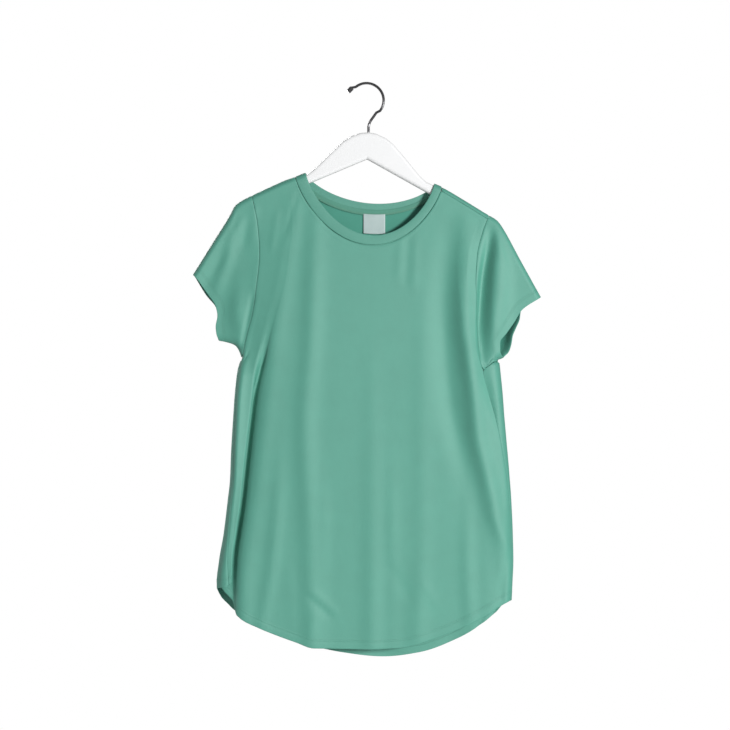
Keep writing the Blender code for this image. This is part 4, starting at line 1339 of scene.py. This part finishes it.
# Small patches across the armpits, where the armholes' allowances meet
armpit = {
    "columns": 8,
    "rows": 6,
    "above": 4.0,
    "height": 13.2,
    "in": (1.3, 2.4),  # how far in at the middle, and how much more at its ends
    "reach": 8.5,
}


def armpitPatch(name, side):
    near, more = armpit["in"]

    def point(across, down):
        t = 2 * across - 1
        z = shirt["armpit"][side] + armpit["above"] - armpit["height"] * down
        return Vector((bodyEdge[side](z) - side * (near + more * t * t), armpit["reach"] * t, z))

    columns = gridOf(armpit["columns"], armpit["rows"], point)
    clothSheet(name, columns, backing["wall"], bodyJersey, "jersey")


for side, name in sides:
    for face, faceName in ((front, "front"), (back, "back")):
        seamStrip(f"armhole_{name}_{faceName}", "armhole", armholeStrip(side, face), face)
for side, name in sides:
    armpitPatch(f"armpit_{name}_allowance", side)
seamStrip("armhole_left_under", "under", backing["underArm"], front)
seamStrip("neck_front", "neck", neckLine(), front)
for side, name in sides:
    seamStrip(f"side_{name}", "side", sideLine(side), front)
print("seams backed")

band = {
    "wall": 1.5,
    "seat": 2.4,
    "ease": 0.5,
    "easeFade": (8.0, 30.0),  # drops below the shoulders over which the ease goes
    "steps": 84,
    "crowding": 0.86,
    "shares": 8,
    "puff": 0.35,
    "puffFrom": (2.0, 12.0),
}
bandRidge = ridgeLine(band["seat"])


def bandPoint(angle, face, share, lift=0.0):
    ring = tuple(mix(a, b, share) for a, b in zip(bandRing, neck["edge"]))
    (x0, z0), (x1, z1) = ringEnds(ring, bandRidge)
    x = ringX(ring, angle)
    chord = mix(z0, z1, (x - x0) / (x1 - x0))
    drop = ringDrop(ring, angle, face)
    depth = halfDepth(x, chord - drop, face) + band["ease"] * (1 - ease(drop, *band["easeFade"]))
    depth += band["puff"] * math.sin(math.pi * share) * ease(drop, *band["puffFrom"]) + lift
    return Vector((x, face * bentShare(drop, "wrap") * depth, chord - drop))


def bandTurns():
    turns = []
    for face in (front, back):
        for k in range(band["steps"]):
            angle = math.pi * crowded(k / band["steps"], band["crowding"])
            turns.append((angle if face < 0 else math.pi - angle, face))
    return turns


bandColumns = [
    [bandPoint(angle, face, k / band["shares"]) for k in range(band["shares"] + 1)]
    for angle, face in bandTurns()
]
clothSheet(
    "neckband_jersey", bandColumns, band["wall"], bandJersey, "band_jersey", ["neckband"],
    closed=True, levels=1,
)
print("neckband sewn")

tape = {
    "low": -1.6,
    "high": 4.4,
    "columns": 90,
    "steps": 6,
    "stitchRows": [1, 2],
    "under": 1.35,
    "wall": 0.4,
    "ends": 7.0,  # degrees from the shoulders
}


def tapePoint(across, up):
    angle = math.radians(mix(tape["ends"], 180 - tape["ends"], across))
    share = mix(tape["low"], tape["high"], up) / (neck["seam"][3] - neck["edge"][3])
    return bandPoint(angle, back, share, -band["puff"] * math.sin(math.pi * share))


tapePoints = moveIn(gridOf(tape["columns"], tape["steps"], tapePoint), tape["under"])
clothSheet("neck_tape", tapePoints, tape["wall"], tapeJersey, "band_jersey")
tapeSurface = -tape["wall"] / 2 - stitching["out"]
stitches(
    "neck_tape_stitches", tapePoints, tape["stitchRows"], tapeSurface, material=tapeThread
)

label = {
    "middle": 11.5,
    "width": 32.3,
    "height": 29.0,
    "steps": 24,
    "above": 0.6,
    "under": 1.9,
    "wall": 0.35,
    "curl": 0.9,
    "bow": 0.25,
}


def labelPoint(across, down):
    x = label["middle"] + label["width"] * (across - 0.5)
    angle = math.acos((panelRing[0] - x) / panelRing[1])
    top = topLine(x) - ringDrop(panelRing, angle, back) + label["above"]
    curl = label["curl"] * down ** 3 + label["bow"] * math.sin(across * math.pi)
    point = clothPoint(x, top - label["height"] * down, back)
    return point - Vector((0, label["under"] + curl, 0))


steps = label["steps"]
clothSheet(
    "label_satin", gridOf(steps, steps, labelPoint), label["wall"], finishMaterial("label satin"),
    "label_satin", ["neck_label"],
)
print("label sewn in")

for node, material, slot in (
    ("hanger_body", finishMaterial("white plastic"), "hanger_plastic"),
    ("hanger_hook", finishMaterial("plated wire"), "hook_chrome"),
):
    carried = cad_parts[node]
    carried.data.materials.clear()
    carried.data.materials.append(material)
print("hanger painted")

stage = {
    "camera": (-0.0022, -2.542, -0.4138),
    "lens": 85.0,
    "sensor": 36.0,
    "floor": -1.25,
    "floorSize": 1.25,
    "floorSides": 96,
    "floorShader": {"Base Color": (0.82, 0.82, 0.82, 1), "Roughness": 0.7},
    "ambient": 0.17,
    # place, size and power of each light, and the point that they all face
    "lights": {
        "key": ((2.4, -3.5, 0.05), 0.7, 172.0),
        "fill": ((-1.0, -3.4, 0.9), 1.4, 4.0),
        "rear": ((-1.2, 3.5, 0.7), 1.6, 90.0),
        "rim": ((-3.4, 0.9, 0.3), 1.8, 28.0),
    },
    "aim": (0, 0, -0.42),
}


def addFloor():
    bm = bmesh.new()
    sides, radius = stage["floorSides"], stage["floorSize"]
    bmesh.ops.create_circle(bm, cap_ends=True, segments=sides, radius=radius)
    bmesh.ops.translate(bm, verts=bm.verts, vec=(0, 0, stage["floor"]))
    mesh = bpy.data.meshes.new("floor")
    bm.to_mesh(mesh)
    bm.free()
    pale, tree, shader = newMaterial("pale floor")
    setInputs(shader, stage["floorShader"])
    mesh.materials.append(pale)
    addObject("floor", mesh)


# The room is seen as white, and lights the shirt only softly
def addRoom():
    world = bpy.data.worlds.new("white room")
    world.use_nodes = True
    tree = world.node_tree
    seen = tree.nodes["Background"]
    soft = addNode(tree, "ShaderNodeBackground", Strength=stage["ambient"])
    shown = addNode(tree, "ShaderNodeMixShader")
    rays = addNode(tree, "ShaderNodeLightPath")
    for background in (seen, soft):
        background.inputs["Color"].default_value = (1, 1, 1, 1)
    tree.links.new(rays.outputs["Is Camera Ray"], shown.inputs[0])
    tree.links.new(soft.outputs[0], shown.inputs[1])
    tree.links.new(seen.outputs[0], shown.inputs[2])
    tree.links.new(shown.outputs[0], tree.nodes["World Output"].inputs[0])
    bpy.context.scene.world = world


def addLights():
    for name, (where, size, power) in stage["lights"].items():
        data = bpy.data.lights.new(name, "AREA")
        data.size = size
        data.energy = power
        lamp = addObject(name, data)
        lamp.location = where
        facing = Vector(stage["aim"]) - Vector(where)
        lamp.rotation_euler = facing.to_track_quat("-Z", "Y").to_euler()


def addCamera():
    data = bpy.data.cameras.new("camera")
    data.lens = stage["lens"]
    data.sensor_width = stage["sensor"]
    camera = addObject("camera", data)
    camera.location = stage["camera"]
    camera.rotation_euler = (math.radians(90), 0, 0)
    bpy.context.scene.camera = camera


addFloor()
addRoom()
addLights()
addCamera()
bpy.context.scene.view_settings.view_transform = "Standard"
print("stage lit")
